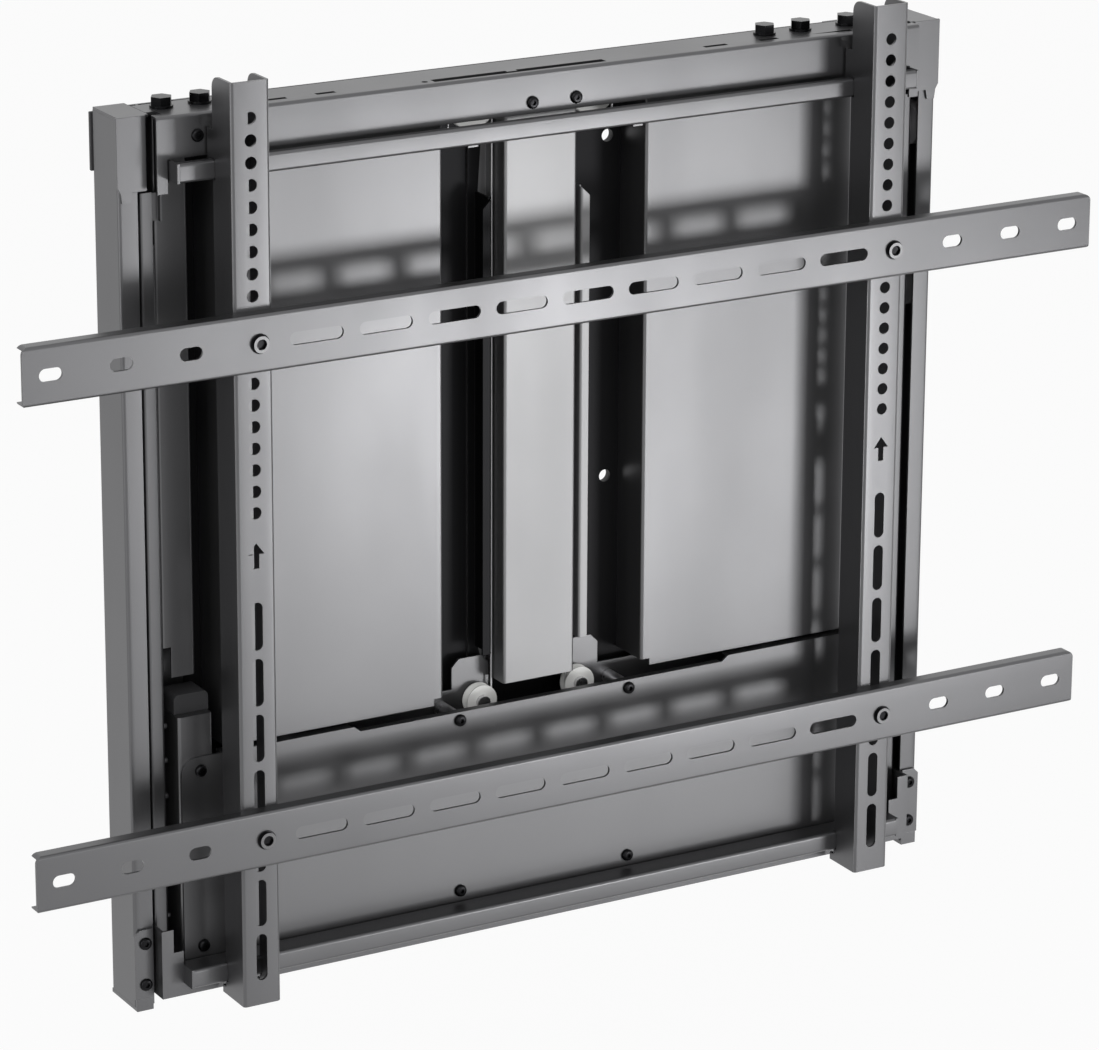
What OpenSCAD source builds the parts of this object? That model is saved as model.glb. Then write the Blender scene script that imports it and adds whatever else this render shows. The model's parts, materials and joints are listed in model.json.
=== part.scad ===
// Spring-balanced wall mount for a large flat display, made of folded sheet steel.
// A fixed wall frame carries a carriage that slides down on four rollers. The carriage
// has two hook rails, and the display's two arms and two slotted bars hang on the rails.
// Each side has a steel cable, four pulleys and two springs that balance the display.
// All sizes are in millimetres. Origin: centre of the frame, on the wall's surface.
// +X right, +Z up, and the front faces -Y.

/* [Wall frame] */
// Overall width across the two side columns
frame_w = 645; // [644:1:648]
// Half height of the wall frame, up to the underside of the top beam
frame_half_h = 312; // [312:1:314]
// Distance from the wall to the front face of the columns
column_front = 42; // [41.9:0.1:42.2]
// Width of each column's front lip
column_lip = 14; // [13.5:0.25:14]
// Thickness of the folded sheet
sheet = 2; // [1.9:0.05:2]
// Thickness of the rubber pads between the columns and the wall
pad_t = 3; // [3:0.1:3.2]
// Half width of the back plate
back_half_w = 264.5; // [263:0.5:265]
// Spacing of the wall bolts across
wall_bolt_dx = 140; // [136:1:142]
// Spacing of the upper and lower wall bolts
wall_bolt_dz = 500; // [440:5:520]
// Radius of the wall bolt holes
wall_bolt_r = 4.5; // [3.5:0.25:5]

/* [Top beam] */
// Distance from the wall to the beam's front face
beam_front = 54; // [53.8:0.1:54]
// Height of the beam's front face
beam_drop = 29; // [28:0.25:29]
// How far the beam's ends lie inside the columns' outer faces
beam_inset = 23; // [23:0.1:23.5]
// Width of the ears below the beam's ends
ear_w = 7.5; // [6:0.25:7.5]
// Length of the ears
ear_l = 23; // [16:1:23]
// Distance from the wall to the row of hex bolts on the beam
bolt_row = 27; // [26.9:0.1:27.1]

/* [Housings and covers] */
// Outer face of each spring housing, from the middle
housing_outer = 252; // [251:0.5:252]
// Inner face of each spring housing, from the middle
housing_inner = 80.6; // [80:0.2:82]
// Height of the housings' lower edge
housing_low = -136; // [-136:0.25:-134]
// Half width of the lower cover
cover_half_w = 286; // [284:0.5:286]
// Height of the lower cover's top edge
cover_top = -139; // [-141:0.5:-139]
// Height of the lower cover's bottom edge above the crossbar's
cover_gap = 4; // [4:0.5:8]
// Half width of the shallow cut-out in the cover's top edge
cover_cut = 148; // [130:1:160]

/* [Carriage] */
// Travel of the carriage, downwards from the top
travel = 400; // [300:10:400]
// Distance from the wall to the hook rails' front face
rail_front = 67; // [66.8:0.1:67.2]
// Gap between the beam's lower edge and the upper hook rail
rail_gap = 0.5; // [0.5:0.25:1.5]
// How far the slide profiles' inner faces lie inside the columns' outer faces
slide_inset = 28.3; // [28.1:0.1:28.5]
// Width of the slide profiles
slide_w = 11.4; // [11.2:0.1:11.4]
// Radius of the guide rollers
roller_r = 16; // [15:0.1:16.5]
// Depths of the guide rollers' axles below the slide profiles' top
roller_drop = [25, 145];

/* [Display arms] */
// Half the distance between the two arms
arm_x = 250; // [246:1:252]
// Width of the arms
arm_w = 28; // [26:0.5:30]
// Distance from the wall to the arms' front face
arm_front = 92; // [91.5:0.25:92.5]
// Height of the arms' top end above the beam
arm_rise = 26.5; // [24:0.5:32]
// Height of the arms' bottom end above the columns' lower end
arm_tail = 6; // [3:0.5:6]
// Number of round holes in each arm
arm_holes = 19; // [15:1:19]
// Pitch of the round holes
arm_hole_pitch = 15; // [15:0.5:15]
// Radius of the round holes
arm_hole_r = 4.25; // [4.1:0.05:4.5]
// Number of upright slots in each arm
arm_slots = 7; // [6:1:7]
// Pitch of the upright slots
arm_slot_pitch = 40; // [38:1:40]
// Length of the upright slots
arm_slot_l = 34; // [30:1:35]
// Width of the upright slots
arm_slot_w = 8.2; // [8.2:0.1:9]

/* [Display bars] */
// Length of the slotted bars
bar_l = 840; // [830:2:860]
// Height of the slotted bars
bar_h = 40; // [38:1:44]
// Depth of the slotted bars
bar_d = 10; // [9:0.5:12]
// Height of the upper bar's centre line
bar_upper_z = 166; // [166:15:181]
// Height of the lower bar's centre line
bar_lower_z = -184; // [-190:1:-182]
// Number of long slots in each bar
bar_slots = 9; // [7:2:9]
// Length of the long slots
bar_slot_l = 40; // [30:1:42]
// Pitch of the long slots
bar_slot_pitch = 52; // [50:1:52]
// Width of every slot in the bars
bar_slot_w = 9; // [6:0.25:10]
// Length of the short slots near the ends
bar_end_slot_l = 16.6; // [14:0.2:18]
// Places of the short slots, from the middle
bar_end_slots = [300, 350, 400];

/* [Springs and cables] */
// Place of the spring pairs, from the middle
spring_x = 216; // [215.8:0.1:216]
// Outer radius of the springs
spring_r = 12.5; // [11:0.25:12.5]
// Inner radius of the springs
spring_bore = 9; // [8.5:0.25:9.5]
// Half the distance between the two springs of a pair
spring_gap = 20; // [20:0.1:20.2]
// Radius of the adjuster bolts
adjuster_r = 5; // [4:0.5:5]
// Distance from the wall to the plane of the cables
cable_y = 21; // [20.9:0.1:21.1]
// Radius of the steel cables
cable_r = 0.8; // [0.6:0.05:0.8]
// Radius of the cable's path round the small pulleys
turn_r = 9.4; // [9.2:0.1:9.4]
// Radius of the cable's path over the top pulleys
turn_top_r = 17.2; // [17:0.1:17.2]
// Radius of the pulleys' axles
axle_r = 4; // [3.5:0.25:4]
// Running clearance of every pulley and roller on its axle
running = 0.05; // [0.03:0.01:0.1]

/* [Hidden] */
$fn = 48;
bend = sheet / 2 + 0.3;
half_w = frame_w / 2;
lip_inner = half_w - column_lip;
beam_half_w = half_w - beam_inset;
slide_inner = half_w - slide_inset;
beam_top = frame_half_h + sheet;
beam_low = beam_top - beam_drop;
flange_y = -pad_t - sheet;
plate_front = flange_y - sheet;
column_low = -frame_half_h - 3;
slide_outer = slide_inner + slide_w;
slide_front = 38;
slide_back = 12;
slide_top = beam_low - ear_l - 2;
slide_low = column_low + 9.3;
roller_z = [slide_top - roller_drop[0], slide_top - roller_drop[1]];
crossbar_low = column_low + 7;
crossbar_high = crossbar_low + 22;
cover_low = crossbar_low + cover_gap;
rail_top = beam_low - rail_gap;
rail_low_top = crossbar_high + 1;
rail_h = 13.5;
rail_d = 13;
rail_half_l = slide_inner - 4.9;
roller_y = -22.5;
roller_in = half_w - 11.3;
roller_w = 8;
pulley_w = 8;
pulley_flange = 2.6;
lower_x = 40;
lower_z = -146.5;
turn_x = spring_x - 2 * turn_r;
upper_x = lower_x - turn_r + turn_top_r;
upper_z = frame_half_h - 22;
block_z = 90;
anchor_x = upper_x + turn_top_r;
dead_x = spring_x + turn_r;
housing_front = 42;
mast_front = 36;
mast_half_w = 28.8;
cover_front = 45;
cover_screw_x = [69, 271.5];
cover_screw_z = [cover_top - 10, cover_low + 26];
bracket_in = 261;
bracket_out = 287;
buffer_h = 14;
lug_low = frame_half_h - 6.5;
bracket_top = lug_low - travel - buffer_h - 0.5;
bolt_out = slide_inner - 11.2;
bolt_in = bolt_out - 28;
beam_bolt_x = [-bolt_out, -bolt_in, 186, bolt_in, bolt_out];
beam_screw_x = beam_half_w - 29.5;
washer_t = 1.55;
crosshead_low = 104;
crosshead_h = 12;
hanger_low = frame_half_h - 33;
hanger_h = 12;
corner_screw_x = half_w - 7.1;
corner_screw_z = [column_low + 46.7, column_low + 16.2];
arm_top = beam_top + arm_rise;
arm_low = column_low + arm_tail;
steel = "#55575b";
zinc = "#c9cbcd";
rubber = "#1d1d1f";
black = "#17181a";

// Folded sheet: a centre line with round bends becomes an outline of even thickness.
function nrm(d) = [-d[1], d[0]];
function unit(v) = v / norm(v);
function turn(a, b) = atan2(a[0] * b[1] - a[1] * b[0], a[0] * b[0] + a[1] * b[1]);
function rot2(v, a) = [v[0] * cos(a) - v[1] * sin(a), v[0] * sin(a) + v[1] * cos(a)];
function fold_corner(p, t, r, s, n, d0, d1) =
  let (a = turn(d0, d1))
  let (g = a > 0 ? 1 : -1)
  let (c = p - d0 * r * tan(abs(a) / 2) + nrm(d0) * r * g)
  [for (k = [0 : n]) c + rot2(-nrm(d0) * g * (r - g * s * t / 2), a * k / n)];
function fold_point(p, i, t, r, s, n) =
  i == 0 ? [p[0] + nrm(unit(p[1] - p[0])) * s * t / 2]
  : i == len(p) - 1 ? [p[i] + nrm(unit(p[i] - p[i - 1])) * s * t / 2]
  : fold_corner(p[i], t, r, s, n, unit(p[i] - p[i - 1]), unit(p[i + 1] - p[i]));
function fold_side(p, t, r, s, n) =
  [for (i = [0 : len(p) - 1]) each fold_point(p, i, t, r, s, n)];
function backwards(v) = [for (i = [len(v) - 1 : -1 : 0]) v[i]];
function folded(p, t = sheet, r = bend, n = 4) =
  concat(fold_side(p, t, r, 1, n), backwards(fold_side(p, t, r, -1, n)));

// A folded sheet that stands upright between two heights
module folded_up(p, z0, z1) {
  translate([0, 0, z0]) linear_extrude(z1 - z0) polygon(folded(p));
}

// An outline in depth and height, drawn out sideways between two places
module across(outline, x0, x1) {
  translate([x0, 0, 0]) rotate([90, 0, 90]) linear_extrude(x1 - x0) polygon(outline);
}

// An outline in width and height, drawn out in depth between two places
module facing(outline, y0, y1) {
  translate([0, y1, 0]) rotate([90, 0, 0]) linear_extrude(y1 - y0) polygon(outline);
}

// A block between two corners
module block(a, b) {
  translate(a) cube(b - a);
}

module rod_x(y, z, x0, x1, r) {
  translate([x0, y, z]) rotate([0, 90, 0]) cylinder(r = r, h = x1 - x0);
}

module rod_y(x, z, y0, y1, r) {
  translate([x, y0, z]) rotate([-90, 0, 0]) cylinder(r = r, h = y1 - y0);
}

module rod_z(x, y, z0, z1, r) {
  translate([x, y, z0]) cylinder(r = r, h = z1 - z0);
}

// A slot with round ends that lies across, cut in depth
module slot_across(x, z, l, w, y0, y1) {
  flat = (l - w) / 2;
  block([x - flat, y0, z - w / 2], [x + flat, y1, z + w / 2]);
  for (s = [-1, 1]) rod_y(x + s * flat, z, y0, y1, w / 2);
}

// A slot with round ends that stands upright, cut in depth
module slot_up(x, z, l, w, y0, y1) {
  flat = (l - w) / 2;
  block([x - w / 2, y0, z - flat], [x + w / 2, y1, z + flat]);
  for (s = [-1, 1]) rod_y(x, z + s * flat, y0, y1, w / 2);
}

module right_side() {
  mirror([1, 0, 0]) children();
}

module both_sides() {
  children();
  mirror([1, 0, 0]) children();
}

// Hexagon bolt head with its flats towards the front
module hex_z(x, y, z0, z1, across_flats) {
  translate([x, y, z0]) cylinder(r = across_flats / sqrt(3), h = z1 - z0, $fn = 6);
}

module back_plate() {
  color(steel) difference() {
    block([-back_half_w, plate_front, -frame_half_h], [back_half_w, flange_y, frame_half_h]);
    for (x = [-1, 1], z = [-1, 0, 1])
      rod_y(x * wall_bolt_dx / 2, z * wall_bolt_dz / 2, plate_front - 1, flange_y + 1, wall_bolt_r);
  }
}

// Rubber pads: four under the columns and a ring round each wall bolt
module wall_pads() {
  pad_w = 23.5;
  pad_h = 40;
  pad_z = frame_half_h - 22;
  ring_r = 14;
  ring_clear = 0.5;
  color(rubber) {
    for (z = [-1, 1]) both_sides() translate([z > 0 ? -half_w - 1 : -half_w + 2, -pad_t, z * pad_z - pad_h / 2])
      cube([pad_w, pad_t, pad_h]);
    for (x = [-1, 1], z = [-1, 0, 1]) difference() {
      rod_y(x * wall_bolt_dx / 2, z * wall_bolt_dz / 2, flange_y, 0, ring_r);
      rod_y(x * wall_bolt_dx / 2, z * wall_bolt_dz / 2, flange_y - 1, 1, wall_bolt_r + ring_clear);
    }
  }
}

module column() {
  m = sheet / 2;
  flange_in = 250;
  path = [[-flange_in, flange_y + m], [-half_w + m, flange_y + m], [-half_w + m, -column_front + m],
    [-lip_inner, -column_front + m]];
  color(steel) difference() {
    folded_up(path, column_low, frame_half_h);
    for (z = corner_screw_z)
      rod_y(-corner_screw_x, z, -column_front - 1, -column_front + 2 * sheet, screw_r + running);
  }
}

screw_r = 2;

module column_left() {
  column();
}

module column_right() {
  right_side() column();
}

// Inner guide channels, with a threaded tab at the top for the beam's bolts
module guide_channels() {
  m = sheet / 2;
  guide_front = -30;
  guide_out = 2.2 - slide_inner;
  guide_in = guide_out + 25;
  guide_low = bracket_top + 25;
  step_z = guide_low + 22;
  step_w = 7;
  tab_low = frame_half_h - sheet;
  path = [[guide_out + m, flange_y], [guide_out + m, guide_front + m],
    [guide_in - m, guide_front + m], [guide_in - m, flange_y]];
  color(steel) both_sides() difference() {
    union() {
      folded_up(path, guide_low, frame_half_h);
      block([guide_out + 3.4, -34, tab_low], [guide_in + 19, -8, frame_half_h]);
    }
    block([guide_out - 1, guide_front - 1, guide_low - 1], [guide_out + step_w, flange_y + 1, step_z]);
    for (x = [bolt_in, bolt_out]) rod_z(-x, -bolt_row, tab_low - 3, frame_half_h + 1, axle_r + running);
  }
}

// Top beam: an angle section with windows, a toothed slot and two ears
module top_beam() {
  m = sheet / 2;
  back_y = -15;
  notch_in = beam_half_w - 7.5;
  slot_y0 = -49;
  slot_y1 = -42;
  angle = folded([[-beam_front + m, beam_low], [-beam_front + m, beam_top - m], [back_y, beam_top - m]]);
  windows = [[-214, -199], [-177, -162.5], [126.6, 145], [172, 187]];
  color(steel) difference() {
    union() {
      across(angle, -beam_half_w, beam_half_w);
      both_sides() block([-beam_half_w, -beam_front, beam_low - ear_l],
        [-beam_half_w + ear_w, -beam_front + sheet, beam_low + m]);
    }
    both_sides() block([-beam_half_w - 1, -46, beam_top - 2 * sheet], [-notch_in, -37, beam_top + 1]);
    difference() {
      block([-90, slot_y0, beam_top - 2 * sheet], [44, slot_y1, beam_top + 1]);
      block([-32, slot_y1 - 3, beam_top - 3 * sheet], [-24, slot_y1 + 1, beam_top + 2]);
    }
    rod_z(-96, -45.5, beam_top - 2 * sheet, beam_top + 1, 2.2);
    for (w = windows) block([w[0], -45, beam_top - 2 * sheet], [w[1], -40.5, beam_top + 1]);
    translate([0, 0, beam_top - 2 * sheet]) linear_extrude(3 * sheet)
      polygon([[213, -43], [247, -43], [247, -48]]);
    for (x = beam_bolt_x) rod_z(x, -bolt_row, beam_top - 2 * sheet, beam_top + 1, axle_r + 0.4);
    for (s = [-1, 1]) {
      rod_z(s * spring_x, -bolt_row, beam_top - 2 * sheet, beam_top + 1, adjuster_r + running);
      rod_y(s * 17.2, beam_low + 7.8, -beam_front - 1, -beam_front + 2 * sheet, screw_r + running);
      rod_y(s * beam_screw_x, beam_low + 14, -beam_front - 1, -beam_front + 2 * sheet, screw_r + running);
    }
  }
}

// Corner caps: a front plate on the column's lip and a top plate on the column's end
module top_caps() {
  cap_front = -column_front - sheet;
  in = half_w - 20;
  out = half_w + 1.3;
  tab_in = half_w - 9.5;
  tab_out = half_w - 1;
  low = frame_half_h - 50;
  top_in = beam_half_w + 0.2;
  color(steel) both_sides() {
    facing([[-in, beam_top], [-in, low + 1], [-tab_in, low + 1], [-tab_in - 1.5, low - 6],
      [1 - tab_out, low - 6], [-tab_out, low + 1], [-out, low + 5], [-out, beam_top]],
      cap_front, -column_front);
    block([-half_w, -column_front, frame_half_h], [-top_in, flange_y, beam_top]);
  }
}

module corner_plates() {
  in = half_w - 13;
  out = half_w + 1;
  low = column_low + 6;
  high = low + 51;
  cut = 4;
  color(steel) both_sides() difference() {
    facing([[-in, low], [-out, low], [-out, high - cut], [cut - out, high], [-in, high]],
      -column_front - sheet, -column_front);
    for (z = corner_screw_z)
      rod_y(-corner_screw_x, z, -column_front - 2 * sheet, -column_front + 1, screw_r + running);
  }
}

// A domed screw with a cross recess, seen from the front
module screw(x, z, seat, head_r, head_h, l) {
  recess = 0.5 * head_r;
  difference() {
    union() {
      rod_y(x, z, seat - 0.5 * head_h, seat, head_r);
      rod_y(x, z, seat - head_h, seat - 0.5 * head_h, 0.8 * head_r);
      rod_y(x, z, seat, seat + l, screw_r);
    }
    for (w = [[recess, 0.5], [0.5, recess]])
      block([x - w[0], seat - head_h - 1, z - w[1]], [x + w[0], seat - 0.45 * head_h, z + w[1]]);
  }
}

// Cover, corner and beam screws
module frame_screws() {
  color(black) {
    for (s = [-1, 1], x = cover_screw_x, z = cover_screw_z) screw(s * x, z, -cover_front, 4.5, 3, 8);
    for (s = [-1, 1], z = corner_screw_z)
      screw(s * corner_screw_x, z, -column_front - sheet, 4.5, 2.5, 3.6);
    for (s = [-1, 1]) {
      screw(s * 17.2, beam_low + 7.8, -beam_front, 4.9, 1.5, 3);
      screw(s * beam_screw_x, beam_low + 14, -beam_front, 4.9, 1.5, 3);
    }
  }
}

module column_feet() {
  foot_t = 3;
  foot_in = half_w - 12.5;
  color(steel) both_sides() {
    block([-half_w, -column_front, column_low - foot_t], [-foot_in, -pad_t, column_low]);
    block([-half_w, -column_front - sheet, column_low - foot_t], [-foot_in, -column_front, column_low + 6]);
  }
}

module housing() {
  m = sheet / 2;
  path = [[-housing_outer + m, plate_front], [-housing_outer + m, -housing_front + m],
    [-housing_inner - m, -housing_front + m], [-housing_inner - m, plate_front]];
  color(steel) difference() {
    folded_up(path, housing_low, frame_half_h);
    block([-88, -housing_front - 1, housing_low - 1], [-housing_inner + 1, plate_front + 1, housing_low + 5]);
    block([-housing_outer - 1, -36, frame_half_h - 4], [-247, -7.9, frame_half_h + 1]);
  }
}

module housing_left() {
  housing();
}

module housing_right() {
  right_side() housing();
}

// Lower cover: a plate with rounded top corners, a shallow cut-out and turned-back edges
module lower_cover() {
  corner_r = 12;
  cut_z = cover_top - 4;
  flange_x = 255;
  flange_d = 8;
  arc = [for (a = [90 : -15 : 0])
    [cover_half_w - corner_r + corner_r * cos(a), cover_top - corner_r + corner_r * sin(a)]];
  half = concat([[0, cut_z], [cover_cut, cut_z], [cover_cut + 5, cover_top]], arc,
    [[cover_half_w, cover_low], [0, cover_low]]);
  color(steel) difference() {
    union() {
      facing(half, -cover_front, -cover_front + sheet);
      right_side() facing(half, -cover_front, -cover_front + sheet);
      both_sides() block([cover_cut + 6, -cover_front + 1, cover_top - sheet],
        [flange_x, -cover_front + sheet + flange_d, cover_top]);
      block([-cover_cut + 1, -cover_front + 1, cut_z - 1], [cover_cut - 1, -cover_front + sheet + 4, cut_z]);
      block([-flange_x, -cover_front + 1, cover_low],
        [flange_x, -cover_front + sheet + flange_d, cover_low + sheet]);
    }
    for (s = [-1, 1], x = cover_screw_x, z = cover_screw_z)
      rod_y(s * x, z, -cover_front - 1, -cover_front + 2 * sheet, screw_r + running);
  }
}

// Round posts that hold the cover's inner screws
module cover_posts() {
  color(zinc) for (s = [-1, 1], z = cover_screw_z) difference() {
    rod_y(s * cover_screw_x[0], z, -cover_front + sheet, plate_front, 5);
    rod_y(s * cover_screw_x[0], z, -cover_front, -cover_front + 12, screw_r + running);
  }
}

// Brackets at the cover's ends: they hold its outer screws and carry the stop buffers
module cover_brackets() {
  m = sheet / 2;
  front = -cover_front + sheet;
  bracket_low = cover_low + 4;
  path = [[-bracket_out + m, flange_y], [-bracket_out + m, front + m],
    [-bracket_in - m, front + m], [-bracket_in - m, plate_front]];
  color(steel) both_sides() difference() {
    union() {
      folded_up(path, bracket_low, bracket_top);
      block([-bracket_out + m, front + m, bracket_top - sheet],
        [-bracket_in - m, plate_front - 1, bracket_top]);
    }
    for (z = cover_screw_z) rod_y(-cover_screw_x[1], z, front - 1, front + 2 * sheet, screw_r + running);
  }
}

// Rubber buffers: the carriage's bottom stops
module buffers() {
  round_r = 4;
  x0 = 260.5;
  x1 = 286.6;
  top = bracket_top + buffer_h;
  arc_in = [for (a = [180 : -15 : 90]) [x0 + round_r + round_r * cos(a), top - round_r + round_r * sin(a)]];
  arc_out = [for (a = [90 : -15 : 0]) [x1 - round_r + round_r * cos(a), top - round_r + round_r * sin(a)]];
  color(rubber) both_sides()
    facing(concat([[x0, bracket_top]], arc_in, arc_out, [[x1, bracket_top]]), -36, -14);
}

// Central mast: a hat section on the back plate, with a cable guard along each side
module mast() {
  m = sheet / 2;
  foot = 43;
  side = mast_half_w - m;
  guard_in = 35.1;
  guard_out = 42.6;
  guard_y = -29.3;
  guard_low = -110;
  guard_top = upper_z - 67.3;
  path = [[-foot, plate_front - m], [-side, plate_front - m], [-side, -mast_front + m],
    [side, -mast_front + m], [side, plate_front - m], [foot, plate_front - m]];
  guard = [[-guard_in - m, plate_front - m], [-guard_in - m, guard_y], [-guard_out, guard_y]];
  color(steel) {
    folded_up(path, -132, frame_half_h);
    both_sides() difference() {
      folded_up(guard, guard_low, guard_top);
      facing([[-guard_in, guard_top], [-guard_out - 1, guard_top - 8.3], [-guard_out - 1, guard_top + 1],
        [-guard_in, guard_top + 1]], guard_y - sheet, guard_y + sheet);
    }
  }
}

// Fixed hex bolts and the washers under every bolt on the beam
module beam_bolts() {
  head_top = beam_top + 7.4;
  color(black) {
    for (x = concat(beam_bolt_x, [-spring_x, spring_x])) difference() {
      rod_z(x, -bolt_row, beam_top, beam_top + washer_t, 8);
      rod_z(x, -bolt_row, beam_top - 1, beam_top + 3, abs(x) == spring_x ? adjuster_r + 0.4 : axle_r);
    }
    for (x = beam_bolt_x) {
      hex_z(x, -bolt_row, beam_top + washer_t, head_top, 13);
      rod_z(x, -bolt_row, beam_top - (abs(x) < 200 ? 3 : 5.7), beam_top + washer_t, axle_r);
    }
  }
}

// Plates behind the lower cover that carry the lower and turning pulleys
module pulley_plates() {
  plate_y = -14;
  low = -173;
  color(steel) both_sides() difference() {
    union() {
      facing([[-30, low], [-30, -121], [-36, -115], [-54, -115], [-60, -121], [-60, -137],
        [-236, -137], [-236, low]], plate_y - sheet, plate_y);
      block([-236, plate_y - 1, low], [-30, plate_front, low + sheet]);
      block([-dead_x - 5, -cable_y - 5, -158], [-dead_x + 5, plate_y - 1, lower_z]);
    }
    rod_y(-cover_screw_x[0], cover_screw_z[0], plate_y - 2 * sheet, plate_y + 1, 5 + running);
  }
}

// An axle bolt: head in front, shaft, and a shoulder behind the pulley
module axle_bolt(x, z, shoulder_y) {
  front = -cable_y - pulley_w / 2 - 0.2;
  back = -cable_y + pulley_w / 2 + 0.2;
  rod_y(x, z, front - 3, front, axle_r + 1);
  rod_y(x, z, front - 1, shoulder_y, axle_r);
  rod_y(x, z, back, shoulder_y, axle_r + 1);
}

module pulley_axles() {
  plate_face = -16;
  color(zinc) for (s = [-1, 1]) {
    axle_bolt(s * lower_x, lower_z, plate_face);
    axle_bolt(s * turn_x, lower_z, plate_face);
    axle_bolt(s * upper_x, upper_z, plate_front - sheet);
  }
}

// Part of a cable bent round a pulley's centre, from one angle to another
module cable_arc(x, z, r, from, sweep) {
  translate([x, -cable_y, z]) rotate([90, 0, 0]) rotate([0, 0, from])
    rotate_extrude(angle = sweep) translate([r, 0]) circle(r = cable_r, $fn = 16);
}

// The fixed stretches: over the top pulley, down beside the mast and out to the turning pulley
module cable_side() {
  cable_arc(-upper_x, upper_z, turn_top_r, 0, 180);
  rod_z(-lower_x + turn_r, -cable_y, lower_z, upper_z, cable_r, $fn = 16);
  cable_arc(-lower_x, lower_z, turn_r, 270, 90);
  rod_x(-cable_y, lower_z - turn_r, -turn_x, -lower_x, cable_r);
  cable_arc(-turn_x, lower_z, turn_r, 180, 90);
}

module cables() {
  color(zinc) both_sides() cable_side();
}

// Free stretches between the carriage and the top pulleys, which grow as it comes down
module lift_strands() {
  color(zinc) both_sides() rod_z(-anchor_x, -cable_y, rail_top - rail_h, upper_z, cable_r);
}

// The two stretches of each cable below the crosshead's pulley
module block_strands() {
  color(zinc) for (x = [spring_x - turn_r, dead_x]) rod_z(-x, -cable_y, lower_z, block_z, cable_r);
}

module block_strands_left() {
  block_strands();
}

module block_strands_right() {
  right_side() block_strands();
}

module cable_loop() {
  color(zinc) cable_arc(-spring_x, block_z, turn_r, 0, 180);
}

module cable_loop_left() {
  cable_loop();
}

module cable_loop_right() {
  right_side() cable_loop();
}

// A grooved pulley that turns about the depth axis
module pulley(x, z, path_r) {
  groove = path_r - cable_r - running;
  out = path_r + (path_r > 12 ? cable_r + 0.4 : pulley_flange);
  h = pulley_w / 2;
  color("whitesmoke") translate([x, -cable_y, z]) rotate([90, 0, 0]) rotate_extrude()
    polygon([[axle_r + running, -h], [out, -h], [out, 1 - h], [groove, -cable_r], [groove, cable_r],
      [out, h - 1], [out, h], [axle_r + running, h]]);
}

module lower_pulley_left() {
  pulley(-lower_x, lower_z, turn_r);
}

module lower_pulley_right() {
  pulley(lower_x, lower_z, turn_r);
}

module upper_pulley_left() {
  pulley(-upper_x, upper_z, turn_top_r);
}

module upper_pulley_right() {
  pulley(upper_x, upper_z, turn_top_r);
}

module turning_pulley_left() {
  pulley(-turn_x, lower_z, turn_r);
}

module turning_pulley_right() {
  pulley(turn_x, lower_z, turn_r);
}

module block_pulley_left() {
  pulley(-spring_x, block_z, turn_r);
}

module block_pulley_right() {
  pulley(spring_x, block_z, turn_r);
}

// Crosshead: a bar under the two springs with a fork and pin for the moving pulley
module crosshead() {
  half = 28;
  side = pulley_w / 2 + 0.3;
  fork = 2.7;
  plug_l = 18;
  color(steel) {
    block([-spring_x - half, -33, crosshead_low], [-spring_x + half, -13, crosshead_low + crosshead_h]);
    for (y = [-cable_y - side - fork, -cable_y + side])
      block([-spring_x - 7, y, block_z - 8], [-spring_x + 7, y + fork, crosshead_low + 1]);
    rod_y(-spring_x, block_z, -cable_y - side - fork, -cable_y + side + fork, axle_r);
    for (s = [-1, 1])
      rod_z(-spring_x + s * spring_gap, -bolt_row, crosshead_low + crosshead_h - 1,
        crosshead_low + crosshead_h + plug_l, spring_bore - 0.5);
  }
}

module crosshead_left() {
  crosshead();
}

module crosshead_right() {
  right_side() crosshead();
}

// Hanger: a bar above the two springs with a threaded hole for the adjuster bolt
module spring_hanger() {
  half = 28;
  plug_l = 12;
  color(steel) difference() {
    union() {
      block([-spring_x - half, -34, hanger_low], [-spring_x + half, -20, hanger_low + hanger_h]);
      for (s = [-1, 1]) rod_z(-spring_x + s * spring_gap, -bolt_row, hanger_low - plug_l,
        hanger_low + 1, spring_bore - 0.5);
    }
    rod_z(-spring_x, -bolt_row, hanger_low - 1, hanger_low + hanger_h + 1, adjuster_r + running);
  }
}

module spring_hanger_left() {
  spring_hanger();
}

module spring_hanger_right() {
  right_side() spring_hanger();
}

// The two springs of one side, as plain tubes
module springs() {
  spring_low = crosshead_low + crosshead_h;
  color(zinc) for (s = [-1, 1]) difference() {
    rod_z(-spring_x + s * spring_gap, -bolt_row, spring_low, hanger_low, spring_r);
    rod_z(-spring_x + s * spring_gap, -bolt_row, spring_low - 1, hanger_low + 1, spring_bore);
  }
}

module springs_left() {
  springs();
}

module springs_right() {
  right_side() springs();
}

module adjuster() {
  seat = beam_top + washer_t + running;
  color(black) {
    hex_z(-spring_x, -bolt_row, seat, seat + 5.8, 13);
    rod_z(-spring_x, -bolt_row, frame_half_h - 50, seat + 1, adjuster_r);
  }
}

module adjuster_left() {
  adjuster();
}

module adjuster_right() {
  right_side() adjuster();
}

// Slide profile: a narrow channel in the slit between the column and the guide channel
module slide_profile() {
  m = sheet / 2;
  open_z = slide_top - 36;
  path = [[-slide_inner - m, -slide_back], [-slide_inner - m, -slide_front + m],
    [-slide_outer + m, -slide_front + m], [-slide_outer + m, -slide_back]];
  color(steel) difference() {
    folded_up(path, slide_low, slide_top);
    block([-slide_inner - sheet - bend, -slide_front + sheet, open_z],
      [-slide_inner + 1, -slide_back + 1, slide_top + 1]);
    block([-slide_inner - sheet, -slide_front - 1, open_z], [-slide_inner + 1, -slide_back, slide_top + 1]);
    for (z = roller_z) rod_x(roller_y, z, -slide_outer - 1, -slide_outer + 2 * sheet, axle_r + running);
  }
}

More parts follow.
